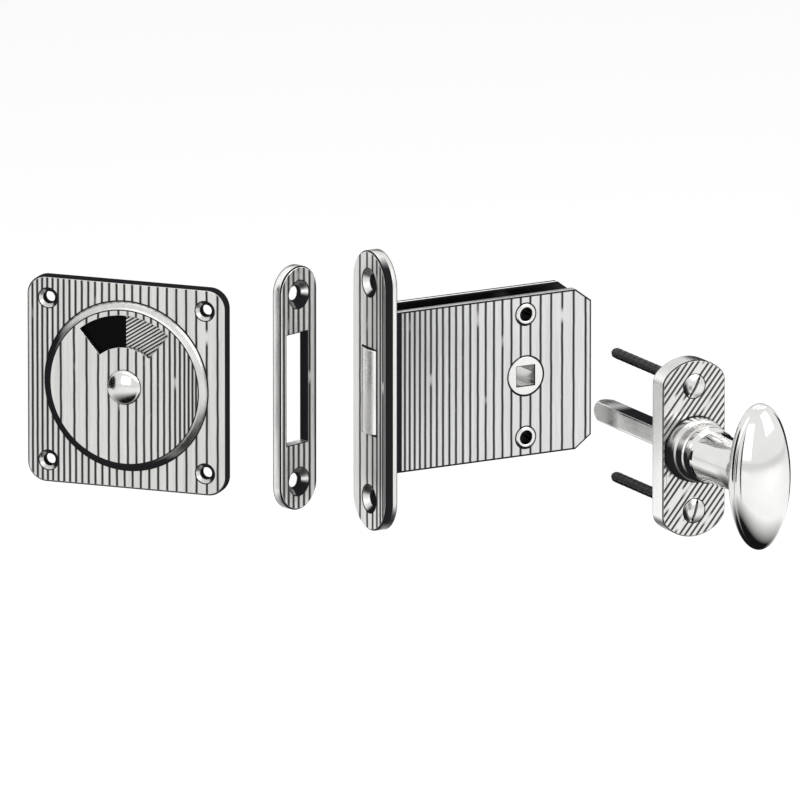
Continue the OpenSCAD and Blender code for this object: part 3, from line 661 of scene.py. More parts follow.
def geometryTree(name, inputs, parts, links):  # ends in realized instances with their finish
    tree = bpy.data.node_groups.new(name, "GeometryNodeTree")
    for label, kind in {"Geometry": "Geometry", **inputs, "Finish": "Material"}.items():
        tree.interface.new_socket(label, in_out="INPUT", socket_type="NodeSocket" + kind)
    tree.interface.new_socket("Geometry", in_out="OUTPUT", socket_type="NodeSocketGeometry")
    ends = {"source": "NodeGroupInput", "result": "NodeGroupOutput",
            "realize": "GeometryNodeRealizeInstances", "finish": "GeometryNodeSetMaterial"}
    wire(tree, {**ends, **parts}, links + ["realize.0 > finish.Geometry", "source.Finish > finish.Material",
                                           "finish.0 > result.0"])
    return tree


# Geometry Nodes: one turned piece is set at both ends of a line, each turned by its own angle
inPairs = geometryTree("pairOnALine", {
    "Pitch": "Float", "Upper Turn": "Float", "Lower Turn": "Float", "Seat": "Vector",
}, {
    "half": ("ShaderNodeMath", {"operation": "MULTIPLY", 1: -0.5}), "start": "ShaderNodeCombineXYZ",
    "step": "ShaderNodeCombineXYZ", "line": ("GeometryNodeMeshLine", {"Count": 2}),
    "index": "GeometryNodeInputIndex", "pick": ("GeometryNodeSwitch", {"input_type": "FLOAT"}),
    "turn": "ShaderNodeCombineXYZ", "setAt": "GeometryNodeInstanceOnPoints",
    "place": "GeometryNodeTransform",
}, [
    "source.Pitch > half.0", "half.0 > start.Z", "source.Pitch > step.Z", "start.0 > line.Start Location",
    "step.0 > line.Offset", "index.0 > pick.Switch", "source.Lower Turn > pick.False",
    "source.Upper Turn > pick.True", "pick.0 > turn.Y", "line.0 > setAt.Points",
    "source.Geometry > setAt.Instance", "turn.0 > setAt.Rotation", "setAt.0 > place.Geometry",
    "source.Seat > place.Translation", "place.0 > realize.0",
])

# Geometry Nodes: a thread is a triangle swept along a spiral, joined to the shank that it is cut on
cutThread = geometryTree("cutThread", {
    "Radius": "Float", "Thread Pitch": "Float", "Start": "Float", "Length": "Float", "Ridge": "Float",
}, {
    "turns": ("ShaderNodeMath", {"operation": "DIVIDE"}),
    "spiral": ("GeometryNodeCurveSpiral", {"Resolution": 20}),
    "ridge": ("GeometryNodeCurvePrimitiveCircle", {"Resolution": 3}),
    "sweep": ("GeometryNodeCurveToMesh", {"Fill Caps": True}), "shift": "ShaderNodeCombineXYZ",
    "lay": ("GeometryNodeTransform", {"Rotation": (-math.pi / 2, 0, 0)}),
    "join": "GeometryNodeJoinGeometry",
}, [
    "source.Length > turns.0", "source.Thread Pitch > turns.1", "turns.0 > spiral.Rotations",
    "source.Radius > spiral.Start Radius", "source.Radius > spiral.End Radius",
    "source.Length > spiral.Height",
    "source.Ridge > ridge.Radius", "spiral.0 > sweep.Curve", "ridge.0 > sweep.Profile Curve",
    "source.Start > shift.Y", "shift.0 > lay.Translation", "sweep.0 > lay.Geometry",
    "source.Geometry > join.0", "lay.0 > join.0", "join.0 > realize.0",
])


def plainMesh(piece):  # what the piece's modifiers make becomes its own mesh
    bpy.context.view_layer.update()
    evaluated = piece.evaluated_get(bpy.context.evaluated_depsgraph_get())
    mesh = bpy.data.meshes.new_from_object(evaluated)
    piece.modifiers.clear()
    piece.data = mesh
    return piece


def runNodes(piece, tree, values):
    modifier = piece.modifiers.new(tree.name, "NODES")
    modifier.node_group = tree
    sockets = {s.name: s.identifier for s in tree.interface.items_tree if s.in_out == "INPUT"}
    for label, value in values.items():
        modifier[sockets[label]] = value
    return plainMesh(piece)


# Ferrules: spacers through both side plates, rolled over outside them
ferrule = {"bore": 4.1, "rim": 6.6, "half": 6.5, "stand": 0.4, "pass": 5.4, "gap": 4.3, "pitch": 38.0}
turnedLook = {"tone": (0.72, 0.715, 0.70), "roughness": 0.16, "scratch": 0.12, "stretch": (0.12, 1.0, 0.12),
              "paintedCornerShade": (9.0, 0.98)}
turnedNickel = polishedMetal("turnedNickel", turnedLook)


def buildFerrules(values):
    bore, rim, passing = values["bore"] / 2, values["rim"] / 2, values["pass"] / 2
    face, outer, gap = values["half"], values["half"] + values["stand"], values["gap"]
    half = softSection([
        (bore, 0.0), (bore, outer, 0.28), (bore + 0.75, outer, 0.3), (rim - 0.1, face + 0.16, 0.12),
        (rim, face, 0), (passing, face, 0), (passing, gap, 0), (rim, gap, 0), (rim, 0.0)], 0.2)
    shell = Shell(nearPlace)
    first, last = shell.turned(half + [(r, -w) for r, w in reversed(half[:-1])][:-1], 48)
    shell.bridge(last, first)
    return shell.finish("ferrules")


ferrules = runNodes(buildFerrules(ferrule), inPairs, {
    "Pitch": ferrule["pitch"] * mm, "Seat": tuple(followerPlace.translation), "Finish": turnedNickel})
dress(ferrules, "case", turnedNickel, ["ferrule_upper", "ferrule_lower"])
print("ferrules built")

# Follower: hub with a square hole, shoulder and one arm into the bolt's tail
follower = {"hub": 11.8, "shoulder": 13.2, "half": 6.5, "shoulderHalf": 4.15, "square": 6.1, "turn": 45.0,
            "armRoot": 4.4, "armReach": 9.2, "armTip": 1.6, "armNeck": 2.2, "armHalf": 1.5,
            "tipSteps": 24}
followerNickel = polishedMetal("followerNickel", {
    **turnedLook, "paintedCornerShade": (4.2, 0.98), "place": followerPlace, "zones": [
        # painted shade round the square hole's rim, and painted shadow on its right and lower walls
        paintedShadeZone((0, 0), boxOf(follower["square"], follower["square"]), (-0.2, 0.22), depth=(6.1, 8)),
        paintedShadeZone((3, 2.2), (1, 1.6, 0), (-9, 0), depth=(-7, 6.4), facing=((-1, 0, 0), 0.7, 0.95)),
        paintedShadeZone((-2.4, -3), (1.0, 1, 0), (-9, 0), depth=(-7, 6.4), facing=topEdge),
    ]})


def buildFollower(values):
    hub, shoulder, half = values["hub"] / 2, values["shoulder"] / 2, values["half"]
    front = softSection([(hub - 0.5, half), (hub, half, 0.3), (hub, values["shoulderHalf"], 0.05),
                         (shoulder, values["shoulderHalf"], 0.15), (shoulder, 0.0)], 0.15)
    section = [(r - hub, w) for r, w in front + [(r, -w) for r, w in reversed(front[:-1])]]
    square = roundedRectLoop(values["square"], values["square"], 0.15, steps=3)
    shell = Shell(followerPlace)
    shell.plate(circleLoop(hub, steps=96), section, [(square, holeSection(2 * half, half, 0.18))])
    lean = math.radians(values["turn"])
    tip, neck, root = values["armTip"], values["armNeck"] / 2, values["armRoot"]
    away = math.degrees(math.asin(neck / tip))
    loop = [(-neck, root), (neck, root)]
    for k in range(values["tipSteps"] + 1):
        angle = math.radians(-90 + away + (360 - 2 * away) * k / values["tipSteps"])
        loop.append((tip * math.cos(angle), values["armReach"] + tip * math.sin(angle)))
    c, s = math.cos(lean), math.sin(lean)
    loop = [(x * c + y * s, -x * s + y * c) for x, y in loop]
    shell.plate(lambda grow: loop, [(0, values["armHalf"]), (0, -values["armHalf"])])
    return shell.finish("followerHub")


dress(buildFollower(follower), "follower", followerNickel, ["follower"])

# Bolt head: brass block with a rounded nose, plated
boltHead = {"nose": -1.3, "length": 21.5, "half": 4.0, "height": 13.0, "noseRadius": 7.3, "corner": 0.3,
            "soft": 0.35}
boltMetal = polishedMetal("nickelledBolt", {"tone": lit, "roughness": 0.3, "scratch": 0.02,
                                            "stretch": (0.2, 0.2, 0.01), "paintedCornerShade": (0.6, 0.5)})


def buildBoltHead(values):
    centre = values["nose"] + values["noseRadius"]
    lean = math.degrees(math.asin(values["half"] / values["noseRadius"]))
    corner, height = values["corner"], values["height"]
    across, along = values["half"] - corner, values["nose"] + values["length"] - corner
    loop = arcLoop([(along, across, corner, 1, 0, 90, 4),
                    (centre, 0, values["noseRadius"], 1, 180 - lean, 180 + lean, 24),
                    (along, -across, corner, 1, 270, 360, 4)])
    shell = Shell(boltPlace)
    section = [(-0.8, height), (0, height), (0, -height), (-0.8, -height)]
    shell.plate(loop, softSection(section, values["soft"]))
    return shell.finish("boltHead")


dress(buildBoltHead(boltHead), "bolt", boltMetal, ["bolt_head"])
print("follower and bolt built")

# Rose: flattened round ends, two-step collar, recess behind
rose = {"height": 53.8, "width": 21.2, "thick": 6.4, "endRadius": 13.0, "corner": 5.0, "collar": 19.4,
        "collarHeight": 4.4, "top": 17.4, "topHeight": 8.0, "bore": 12.12, "recess": 18.0,
        "recessFloor": -3.4, "pitch": 38.0, "hole": 4.0, "mouth": 7.4, "sink": 2.2}
collarShadow = ((-0.75, -0.65, 0), 0.3, 0.65)
roseMetal = satinMetal("satinNickelRose", {
    "tone": nickel, "grain": 0.06, "roughness": 0.22, "across": (0.77, -0.64, 0), "along": (0.64, 0.77, 0),
    "onFlat": True, "from": -33.5, "spacing": 1.45, "growth": 0.004, "width": 0.52, "lineDepth": 0.95,
    "breaks": 0.4, "paintedCornerShade": (1.6, 0.9), "place": turnPlace, "zones": [
        # painted highlight on the left-facing side; painted shade on the front edge, the collar's shaded side, the
        # screw mouths and the collar's foot
        {"depth": (-5.9, -0.4), "facing": leftSide, "tone": lit},
        {"depth": (-0.42, -0.05), "tone": paintedShadeTone},
        paintedShadeZone((0, 0), rose["top"] / 2, (-0.2, 1.2), depth=(0.1, 7.6), facing=collarShadow),
        paintedShadeZone((0, rose["pitch"] / 2), rose["mouth"] / 2, (-0.4, 0.15), depth=(-0.9, 1), mirrored=True),
        paintedShadeZone((0, 0), rose["collar"] / 2, (-0.1, 0.3), depth=(-1, 0.3)),
    ]})


def roseOutline(values):
    endRadius, corner = values["endRadius"], values["corner"]
    endAt, side = values["height"] / 2 - endRadius, values["width"] / 2 - corner
    cornerAt = endAt + math.sqrt((endRadius - corner) ** 2 - side ** 2)
    split = math.degrees(math.atan2(cornerAt - endAt, side))
    arcs = []
    for s, base in ((1, 0), (-1, 180)):
        arcs.append((s * side, s * cornerAt, corner, 1, base, base + split, 12))
        arcs.append((0, s * endAt, endRadius, 1, base + split, base + 180 - split, 40))
        arcs.append((-s * side, s * cornerAt, corner, 1, base + 180 - split, base + 180, 12))
    return arcLoop(arcs)


def buildRose(values):
    thick, sink, low, high = values["thick"], values["sink"], values["collarHeight"], values["topHeight"]
    edge = softSection([(-1.2, 0), (0, 0, 0.45), (0, -thick, 0.15), (-0.6, -thick)], 0.3)
    hole, mouth, floor = values["hole"] / 2, values["mouth"] / 2, values["recessFloor"]
    sunk = softSection([(mouth - hole + 0.35, 0), (mouth - hole, 0, 0.1), (0, -sink, 0.12), (0, -thick, 0.1),
                        (0.3, -thick)], 0.1)
    collar, top, bore, recess = (values[key] / 2 for key in ("collar", "top", "bore", "recess"))
    collarSection = softSection([
        (collar + 0.4, 0), (collar, 0, 0.15), (collar, low - 1.2, 0.5), (collar - 0.4, low - 0.4, 0.4),
        (top, low, 0.2), (top, high - 0.5, 0.35), (top - 0.5, high, 0.3), (bore, high, 0.2),
        (bore, floor, 0.15), (recess, floor, 0.2), (recess, -thick, 0.2),
        (recess + 0.4, -thick)], 0.3, 0.04, 5)
    holes = [(circleLoop(bore, steps=120), [(r - bore, w) for r, w in collarSection])]
    holes += [(circleLoop(hole, 0, s * values["pitch"] / 2, 48), sunk) for s in (-1, 1)]
    shell = Shell(turnPlace)
    shell.plate(roseOutline(values), edge, holes)
    return shell.finish("roseAndCollar")


dress(buildRose(rose), "case", roseMetal, ["rose"])

# Knob: journal, flange, neck and an oval of two domes with a rounded band
knob = {"journal": 6.0, "journalBack": -5.9, "groove": (-4.55, -5.35), "grooveDepth": 0.9, "base": 8.15,
        "baseTop": 10.95, "flange": 8.5, "neck": 7.7, "neckEnd": 7.0, "off": 39.0, "height": 44.4,
        "width": 19.6, "depth": 15.6, "band": 3.4, "step": 0.4, "domeRings": 34}
polished = polishedMetal("polishedNickel", {
    "tone": (0.80, 0.795, 0.78), "roughness": 0.08, "paintedCornerShade": (5.0, 0.97), "place": turnPlace, "zones": [
        # painted shade on the flange's shaded side, and a painted shadow on the neck where it meets the oval
        {"depth": (8.0, 11.3), "facing": collarShadow, "tone": paintedShadeTone},
        paintedShadeZone((0, 0), 0, (-1, 8.0), depth=(27, 36), fade=2.5, facing=((0.1, -1, 0), -0.3, 0.45),
              amount=0.92),
    ]})


def ovalSection(values):  # half height of the oval and distance from its middle, front pole to back pole
    outer, band = values["height"] / 2, values["band"] / 2
    dome, deep, rings = outer - values["step"], values["depth"] / 2, values["domeRings"]
    meet = math.degrees(math.asin(band * 1.02 / deep))
    angles = [math.radians(90 - (90 - meet) * k / rings) for k in range(rings + 1)]
    front = [(dome * math.cos(a), deep * math.sin(a)) for a in angles]
    front[0] = (0.0, deep)
    rim = [(outer - 0.62, band * 0.93), (outer - 0.32, band * 0.76), (outer - 0.12, band * 0.52),
           (outer, band * 0.2)]
    half = front + rim
    return half + [(r, -w) for r, w in reversed(half)]


def buildKnob(values):
    shell = Shell(turnPlace)
    journal, flange, neck, neckEnd = (values[key] for key in ("journal", "flange", "neck", "neckEnd"))
    grooveFront, grooveBack = values["groove"]
    start, base, top = values["journalBack"], values["base"], values["baseTop"]
    inner = journal - values["grooveDepth"]
    neckBack = values["off"] - values["depth"] / 2 + 3
    stem = softSection([
        (0, start), (journal, start, 0.3), (journal, grooveBack, 0.05), (inner, grooveBack, 0.05),
        (inner, grooveFront, 0.05), (journal, grooveFront, 0.05), (journal, base, 0.05),
        (flange - 0.4, base, 0.1), (flange, base + 0.5, 0.4), (flange, top - 0.6, 0.5),
        (neck + 0.4, top, 0.4), (neck, top + 1.2, 0.6),
        (neck - 0.35, neckBack * 0.62, 4.0), (neckEnd, neckBack - 2.6, 3.0),
        (neckEnd + 0.9, neckBack - 0.4, 0.6), (0, neckBack)], 0.3, 0.04, 6)
    shell.turned(stem, 96)
    squeeze = values["width"] / values["height"]
    shell.turned([(r, values["off"] + w) for r, w in ovalSection(values)], 144, (squeeze, 1.0))
    return shell.finish("ovalKnob")


dress(buildKnob(knob), "knob", polished, ["knob"])
print("rose and knob built")

# Spindle: square bar with soft corners and a bullet tip
spindle = {"side": 5.8, "inside": 17.0, "reach": 57.0, "tipAcross": 4.3, "tipLength": 6.0, "soft": 0.3,
           "flatParts": 10, "tipRings": 25}
drawnSteel = polishedMetal("drawnSteel", {
    "tone": (0.80, 0.80, 0.79), "roughness": 0.2, "stretch": (1.0, 0.05, 1.0), "place": turnPlace, "zones": [
        # painted highlight on the left-facing side, and painted shade on the top face, fading out towards the tip
        {"facing": leftSide, "tone": lit},
        {"facing": ((0, 1, 0), 0.4, 0.8), "depth": (-45, 40), "fade": 5.0, "tone": paintedShadeTone}]})


def buildSpindle(values):
    side, tip, shoulder = values["side"], values["tipLength"], values["tipLength"] - values["reach"]
    loop = roundedRectLoop(side, side, values["soft"], steps=5)(0)
    square = []
    for i, point in enumerate(loop):  # more points on the flats, for the rounded tip
        after, point = Vector(loop[(i + 1) % len(loop)]), Vector(point)
        parts = values["flatParts"] if (after - point).length > 1 else 1
        square += [point.lerp(after, k / parts) for k in range(parts)]
    shell = Shell(turnPlace)
    stations = [(values["inside"], side), (shoulder, side)]
    for k in range(1, values["tipRings"]):
        turn = math.radians(90 * k / values["tipRings"])
        stations.append((shoulder - tip * math.sin(turn), values["tipAcross"] * math.cos(turn)))
    rings = [shell.ring([p * min(1.0, limit / p.length) for p in square], w) for w, limit in stations]
    rings.append(shell.ring([(0, 0)], -values["reach"]) * len(square))
    shell.joined(rings)
    shell.fill([rings[0]])
    return shell.finish("squareSpindle")


dress(buildSpindle(spindle), "knob", drawnSteel, ["spindle"])

# Through screws: raised countersunk heads with a slot, shanks threaded towards the tip
throughScrew = {"shank": 3.3, "neck": 3.8, "neckLength": 7.0, "reach": 48.4, "head": 7.1, "sink": 2.2,
                "dome": 0.9, "spread": 50, "slot": 0.9, "slotDepth": 1.1, "thread": 0.7, "threadFrom": 9.5,
                "ridge": 0.16, "upperTurn": 30.0, "lowerTurn": 18.0, "pitch": 38.0}
screwSteel = polishedMetal("darkShankScrews", {
    "tone": (0.72, 0.72, 0.71), "roughness": 0.22, "stretch": (1.0, 0.05, 1.0), "place": turnPlace, "zones": [
        # the shanks are far darker than the heads; painted shade crescents on the heads' lower-left sides
        {"depth": (-90, -3), "tone": (0.09, 0.09, 0.092)},
        paintedShadeZone((0, throughScrew["pitch"] / 2), 2.4, (0, 3), facing=((-0.8, -0.3, 0), 0.2, 0.42),
              mirrored=True),
    ]})


def domeSection(radius, base, rise, spread, step=4):  # a cap of a sphere, from its pole outwards
    edge = math.radians(spread)
    fall = 1 - math.cos(edge)
    return [(radius * math.sin(a) / math.sin(edge), base + rise * (math.cos(a) - math.cos(edge)) / fall)
            for a in map(math.radians, range(0, spread + 1, step))]


def cutSlot(screw, values):
    cutter = bpy.data.objects.new("slotCutter", bpy.data.meshes.new("slotCutter"))
    bpy.context.scene.collection.objects.link(cutter)
    size = Matrix.Diagonal((values["slot"] * mm, 2 * values["slotDepth"] * mm, 3 * values["head"] * mm, 1))
    bm = bmesh.new()
    bmesh.ops.create_cube(bm, size=1.0, matrix=Matrix.Translation((0, -values["dome"] * mm, 0)) @ size)
    bm.to_mesh(cutter.data)
    bm.free()
    cut = screw.modifiers.new("slot", "BOOLEAN")
    cut.object = cutter
    cut.solver = "EXACT"
    plainMesh(screw)
    bpy.data.objects.remove(cutter)
    screw.data.set_sharp_from_angle(angle=math.radians(50))


def buildScrews(values):
    neck, head, shank = values["neck"] / 2, values["head"] / 2, values["shank"] / 2
    core, reach, start = shank - 1.1 * values["ridge"], values["reach"], values["threadFrom"]
    neckEnd = -values["neckLength"]
    section = domeSection(head, 0, values["dome"], values["spread"]) + softSection([
        (head, 0.02), (head, -0.1, 0.05), (neck, -values["sink"], 0.1), (neck, neckEnd + 0.3, 0.1),
        (shank, neckEnd, 0.1), (shank, -start, 0.05), (core, -start - 0.4, 0.05), (core, -reach + 1.2, 0.1),
        (core - 0.5, -reach + 0.1, 0.2), (0, -reach)], 0.1)
    shell = Shell(nearPlace)
    shell.turned(section, 64)
    screw = shell.finish("roseScrews")
    cutSlot(screw, values)
    runNodes(screw, cutThread, {
        "Radius": (shank - values["ridge"] * 0.92) * mm, "Thread Pitch": values["thread"] * mm,
        "Start": start * mm, "Length": (reach - start - 1.3) * mm, "Ridge": values["ridge"] * mm,
        "Finish": screwSteel})
    return runNodes(screw, inPairs, {
        "Pitch": values["pitch"] * mm, "Seat": tuple(turnPlace.translation), "Finish": screwSteel,
        "Upper Turn": math.radians(values["upperTurn"]), "Lower Turn": math.radians(values["lowerTurn"])})


screws = buildScrews(throughScrew)
dress(screws, "case", screwSteel, ["rose_screw_upper", "rose_screw_lower"])
print("spindle and screws built")

# Indicator plate: square plate, raised hollow boss with a window, four countersunk holes
indicator = {"side": 63.5, "corner": 6.0, "thick": 3.5, "bevel": 0.5, "pitch": 50.0, "hole": 3.4,
             "mouth": 6.1, "boss": 52.0, "bossFace": 47.6, "rise": 2.0, "wall": 1.6,
             "window": (12.2, 22.0, 40.0), "stud": 4.72, "pocket": 46.8, "cover": 49.2, "coverDepth": 1.2}
screwAt = (indicator["pitch"] / 2, indicator["pitch"] / 2)
screwShadow = ((-0.7, -0.45, 0), -0.15, 0.2)
bossShadow = ((-0.7, -0.7, 0), -0.04, 0.16)
indicatorMetal = satinMetal("satinNickelIndicator", {
    "tone": nickel, "from": -31.4, "spacing": 1.45, "growth": 0.034, "width": 0.55, "place": indicatorPlace,
    "inner": {"across": (-1, 0, 0), "from": -22.9, "spacing": 1.1, "growth": 0.078,
              "zone": paintedShadeZone((0, 0), 24.6, (-30, 0))},
    "zones": [
        # painted shade on the plate's edge, in the countersinks, on the boss's shaded flank and round its foot and
        # face
        paintedShadeZone((0, 0), boxOf(indicator["side"], indicator["side"], indicator["corner"]), (-0.42, 2)),
        *sunkZones(indicator, screwAt, indicator["thick"], 0.3, screwShadow, 0.3, 0.12),
        paintedShadeZone((0, 0), indicator["boss"] / 2, (-2.5, 0.12), depth=(3.6, 9), facing=bossShadow),
        paintedShadeZone((0, 0), indicator["boss"] / 2, (-0.15, 0.25), depth=(3.2, 9)),
        paintedShadeZone((0, 0), indicator["bossFace"] / 2, (-0.3, 0.05), depth=(5, 9)),
    ]})


def buildIndicator(values):
    shell = Shell(indicatorPlace)
    front, rise, side, coverAt = values["thick"], values["rise"], values["side"], values["coverDepth"]
    top, floor, hole = front + rise, front + rise - values["wall"], values["hole"] / 2
    across = ("boss", "bossFace", "stud", "pocket", "cover")
    foot, face, stud, pocket, cover = (values[key] / 2 for key in across)
    frontRing, backRing = shell.walls(roundedRectLoop(side, side, values["corner"], steps=16),
                                      plateSection(front, values["bevel"], 0.25, front))
    sunk = sunkSection(values["hole"], values["mouth"], front, front)
    spots = [(sx * values["pitch"] / 2, sy * values["pitch"] / 2) for sx in (-1, 1) for sy in (-1, 1)]
    ends = [shell.walls(circleLoop(hole, x, y, 48), sunk) for x, y in spots]
    flank = softSection([(foot + 0.8, front), (foot, front, 0.12), (foot - 0.5, front + rise * 0.45, 1.2),
                         (face + 0.6, top - 0.25, 0.8), (face, top, 0.5), (face - 0.6, top)], 0.3, 0.05, 6)
    flankLow, flankHigh = shell.walls(circleLoop(face, steps=160), [(r - face, w) for r, w in flank])
    windowTop, windowLow = shell.walls(sectorLoop(*values["window"], 0.18), softSection(
        [(0.4, top), (0, top, 0.1), (0, floor, 0.08), (0.3, floor)], 0.1))
    studTop, studLow = shell.walls(circleLoop(stud, steps=48), softSection(
        [(0.4, top), (0, top, 0.1), (0, floor, 0.1), (0.4, floor)], 0.1))
    under = softSection([(pocket - 0.8, floor), (pocket, floor, 0.3), (pocket, coverAt, 0.1),
                         (cover, coverAt, 0.1), (cover, 0, 0.1), (cover + 0.4, 0)], 0.1)
    pocketIn, recessOut = shell.walls(circleLoop(pocket, steps=160), [(r - pocket, w) for r, w in under])
    shell.fill([frontRing, flankLow] + [e[0] for e in ends])
    shell.fill([flankHigh, windowTop, studTop])
    shell.fill([pocketIn, windowLow, studLow])
    shell.fill([backRing, recessOut] + [e[1] for e in ends])
    return shell.finish("indicatorPlate")


dress(buildIndicator(indicator), "case", indicatorMetal, ["indicator_plate"])

# Rivet: a polished dome at the middle of the boss
rivet = {"head": 10.6, "under": 5.65, "rise": 1.9, "spread": 56, "skirt": 0.62, "stud": 4.6, "end": 1.4}


def buildRivet(values):
    head, stud = values["head"] / 2, values["stud"] / 2
    under, skirt, end = values["under"], values["skirt"], values["end"]
    dome = domeSection(head * 0.86, under + skirt, values["rise"] - skirt, values["spread"])
    edge = softSection([dome[-1], (head - 0.3, under + 0.52, 0.25), (head, under + 0.22, 0.2),
                        (head, under, 0.1), (stud, under, 0.1), (stud, -end, 0.1), (0, -end)], 0.2)
    shell = Shell(indicatorPlace)
    shell.turned(dome + edge[1:], 80)
    return shell.finish("centreRivet")


dress(buildRivet(rivet), "indicator_disc", turnedNickel, ["centre_rivet"])
print("indicator built")

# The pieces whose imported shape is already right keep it, and get their own finish
mechanism = oiledSteel("oiledSteel", {"tone": (0.36, 0.365, 0.38), "roughness": 0.36})
springSteel = oiledSteel("springSteel", {"tone": (0.24, 0.26, 0.32), "roughness": 0.3})
blackEnamel = enamel("blackEnamel", {"tone": (0.003, 0.003, 0.0035), "roughness": 0.4, "gloss": 0.03})
hatchTurn = math.radians(33)
hatchAxis = inFrame(indicatorPlace, (-math.sin(hatchTurn), math.cos(hatchTurn), 0))
hatchedEnamel = enamel("hatchedEnamel", {
    "tone": (0.86, 0.86, 0.84), "roughness": 0.34, "gloss": 0.15,
    "stripe": {"tone": (0.015, 0.015, 0.016), "axis": hatchAxis, "pitch": 0.97, "share": 0.5, "shift": 0.1}})
finishes = [
    (mechanism, ["guide_pin", "guide_washer", "bolt_tail", "tail_rivets", "spring_rivet", "spindle_pin",
                 "knob_washer", "indicator_cover", "indicator_disc"]),
    (springSteel, ["bow_spring", "knob_circlip", "spring_washer"]),
    (blackEnamel, ["engaged_sector"]),
    (hatchedEnamel, ["vacant_sector"]),
]
for material, nodeNames in finishes:
    for nodeName in nodeNames:
        for slot in nodes[nodeName].material_slots:
            slot.material = material
print("packed pieces finished")

# Studio: pale floor far below, white surroundings, a large key lamp at the upper right
studio = {"floorDrop": 0.26, "floorSize": 14.0, "floorTone": 0.9, "surround": 0.55, "lift": 0.32}
lamps = [
    {"name": "keyLamp", "at": (1.05, -1.55, 1.35), "size": 1.6, "power": 20.0},
    {"name": "fillLamp", "at": (-1.6, -1.1, 0.7), "size": 1.4, "power": 5.0},
    {"name": "topLamp", "at": (0.1, 0.5, 1.9), "size": 1.2, "power": 7.0},
]
lampsAim = (0.0, -0.02, 0.0)
white = (1.0, 1.0, 1.0)
seenNodes = {"path": "ShaderNodeLightPath", "plain": ("ShaderNodeMath", {"operation": "MAXIMUM"}),
             "seen": ("ShaderNodeMath", {"operation": "MAXIMUM"}), "mix": "ShaderNodeMixShader"}
seenLinks = ["path.Is Camera Ray > plain.0", "path.Is Glossy Ray > plain.1", "plain.0 > seen.0",
             "path.Is Transmission Ray > seen.1", "mix.0 > out.Surface"]


def lookAt(thing, target):
    thing.rotation_euler = (Vector(target) - thing.location).to_track_quat("-Z", "Y").to_euler()


def addLamp(name, at, size, power):
    data = bpy.data.lights.new(name, "AREA")
    data.shape, data.size, data.energy = "SQUARE", size, power
    lamp = bpy.data.objects.new(name, data)
    lamp.location = at
    bpy.context.scene.collection.objects.link(lamp)
    lookAt(lamp, lampsAim)


def addSheet(name, width, height, drop, parts, links):  # a flat rectangle with a finish of its own
    a, b = width / 2, height / 2
    mesh = bpy.data.meshes.new(name)
    mesh.from_pydata([(-a, -b, drop), (a, -b, drop), (a, b, drop), (-a, b, drop)], [], [(0, 1, 2, 3)])
    sheet = bpy.data.objects.new(name, mesh)
    bpy.context.scene.collection.objects.link(sheet)
    material = bpy.data.materials.new(name)
    material.use_nodes = True
    material.node_tree.nodes.clear()
    wire(material.node_tree, {**parts, "out": "ShaderNodeOutputMaterial"}, links)
    mesh.materials.append(material)
    return sheet


def buildFloor(values):  # clear from below, so that the underside can be looked at
    tone = values["floorTone"]
    addSheet("studioFloor", values["floorSize"], values["floorSize"], -values["floorDrop"], {
        **seenNodes, "matt": ("ShaderNodeBsdfDiffuse", {"Color": (tone, tone, tone, 1)}),
        "strength": ("ShaderNodeMath", {"operation": "MULTIPLY", 1: values["lift"]}),
        "glow": "ShaderNodeEmission", "both": "ShaderNodeAddShader", "under": "ShaderNodeBsdfTransparent",
        "side": "ShaderNodeNewGeometry",
    }, seenLinks + ["seen.0 > strength.0", "strength.0 > glow.Strength", "matt.0 > both.0", "glow.0 > both.1",
                    "side.Backfacing > mix.0", "both.0 > mix.1", "under.0 > mix.2"])


def buildWorld(values):
    world = bpy.data.worlds.new("studio")
    world.use_nodes = True
    bpy.context.scene.world = world
    world.node_tree.nodes.clear()
    wire(world.node_tree, {
        **seenNodes, "out": "ShaderNodeOutputWorld",
        "light": ("ShaderNodeBackground", {"Color": shade(white), "Strength": values["surround"]}),
        "shown": ("ShaderNodeBackground", {"Color": shade(white), "Strength": 1.0}),
    }, seenLinks + ["seen.0 > mix.0", "light.0 > mix.1", "shown.0 > mix.2"])


buildFloor(studio)
buildWorld(studio)
for lampValues in lamps:
    addLamp(**lampValues)

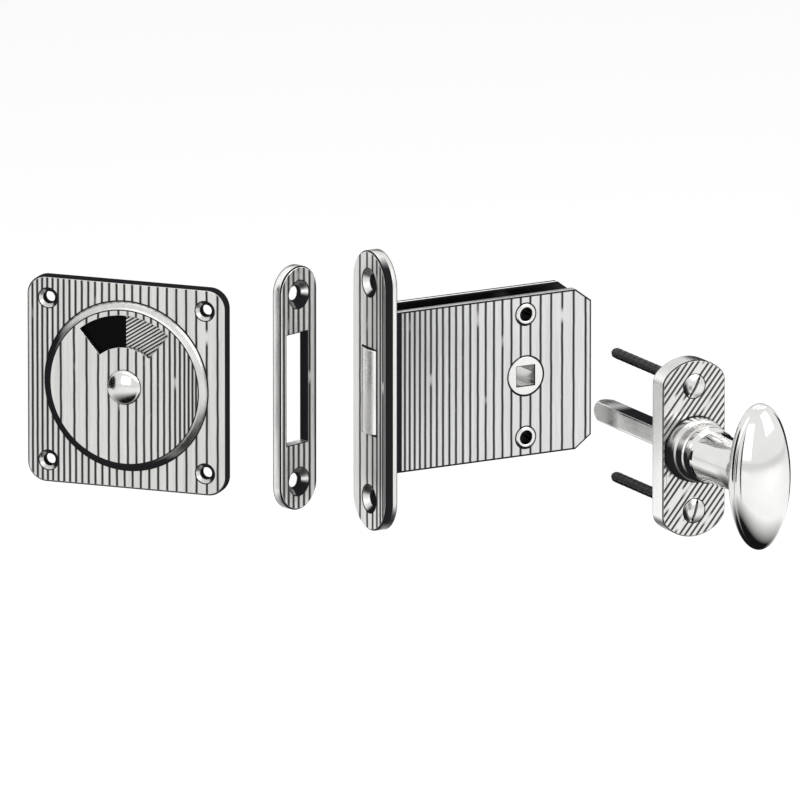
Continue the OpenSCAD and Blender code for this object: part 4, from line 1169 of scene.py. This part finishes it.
# Dark cards: seen only in the metal, they draw the dark edges that a studio's flags give
cards = [
    {"name": "backFlag", "at": (0.40, 0.57, -0.05), "faces": (0.0, -0.02, -0.05), "size": (1.45, 0.62),
     "edge": 0.08},
    {"name": "leftFlag", "at": (-0.80, 0.41, -0.04), "faces": (-0.05, 0.04, -0.04), "size": (0.7, 0.8),
     "edge": 0.08},
    {"name": "underFlag", "at": (0.0, -0.02, -0.21), "faces": (0.0, -0.02, 0.0), "size": (0.95, 0.8),
     "edge": 0.55},
    {"name": "streakFlag", "at": (-0.42, -0.20, 0.0), "faces": (-0.143, -0.616, 0.0), "size": (0.15, 0.5),
     "edge": 0.3},
]


def addCard(name, at, faces, size, edge):
    card = addSheet(name, *size, 0.0, {
        "spot": "ShaderNodeTexCoord",
        "stretch": ("ShaderNodeMapping", {"Scale": (2 / size[0], 2 / size[1], 1)}),
        "fade": ("ShaderNodeTexGradient", {"gradient_type": "SPHERICAL"}),
        "soft": ("ShaderNodeMapRange", {"From Max": edge}), "clear": "ShaderNodeBsdfTransparent",
        "dark": ("ShaderNodeBsdfDiffuse", {"Color": shade(white, 0.01)}), "mix": "ShaderNodeMixShader",
    }, ["spot.Object > stretch.Vector", "stretch.0 > fade.Vector", "fade.Fac > soft.Value", "soft.0 > mix.0",
        "clear.0 > mix.1", "dark.0 > mix.2", "mix.0 > out.Surface"])
    card.location = at
    lookAt(card, faces)
    card.visible_camera = card.visible_diffuse = card.visible_shadow = card.visible_transmission = False


for cardValues in cards:
    addCard(**cardValues)

# Camera: the engraving's view, from the left front and a little above, through a long lens
view = {"azimuth": -29.0, "elevation": 14.0, "away": 8.0, "acrossShift": 0.00924, "upShift": -0.00275,
        "pixel": 0.0002988, "frame": 800, "sensor": 36.0, "clip": 60.0}


def buildCamera(values):
    a, e = math.radians(values["azimuth"]), math.radians(values["elevation"])
    back = Vector((math.sin(a) * math.cos(e), -math.cos(a) * math.cos(e), math.sin(e)))
    right = Vector((math.cos(a), math.sin(a), 0))
    up = back.cross(right)
    spot = right * values["acrossShift"] + up * values["upShift"] + back * values["away"]
    data = bpy.data.cameras.new("camera")
    data.sensor_width = values["sensor"]
    data.lens = values["sensor"] * values["away"] / (values["pixel"] * values["frame"])
    data.clip_end = values["clip"]
    camera = bpy.data.objects.new("camera", data)
    camera.matrix_world = Matrix.Translation(spot) @ Matrix((right, up, back)).transposed().to_4x4()
    bpy.context.scene.collection.objects.link(camera)
    bpy.context.scene.camera = camera


buildCamera(view)
bpy.context.scene.view_settings.view_transform = "Standard"
print("studio and camera set")
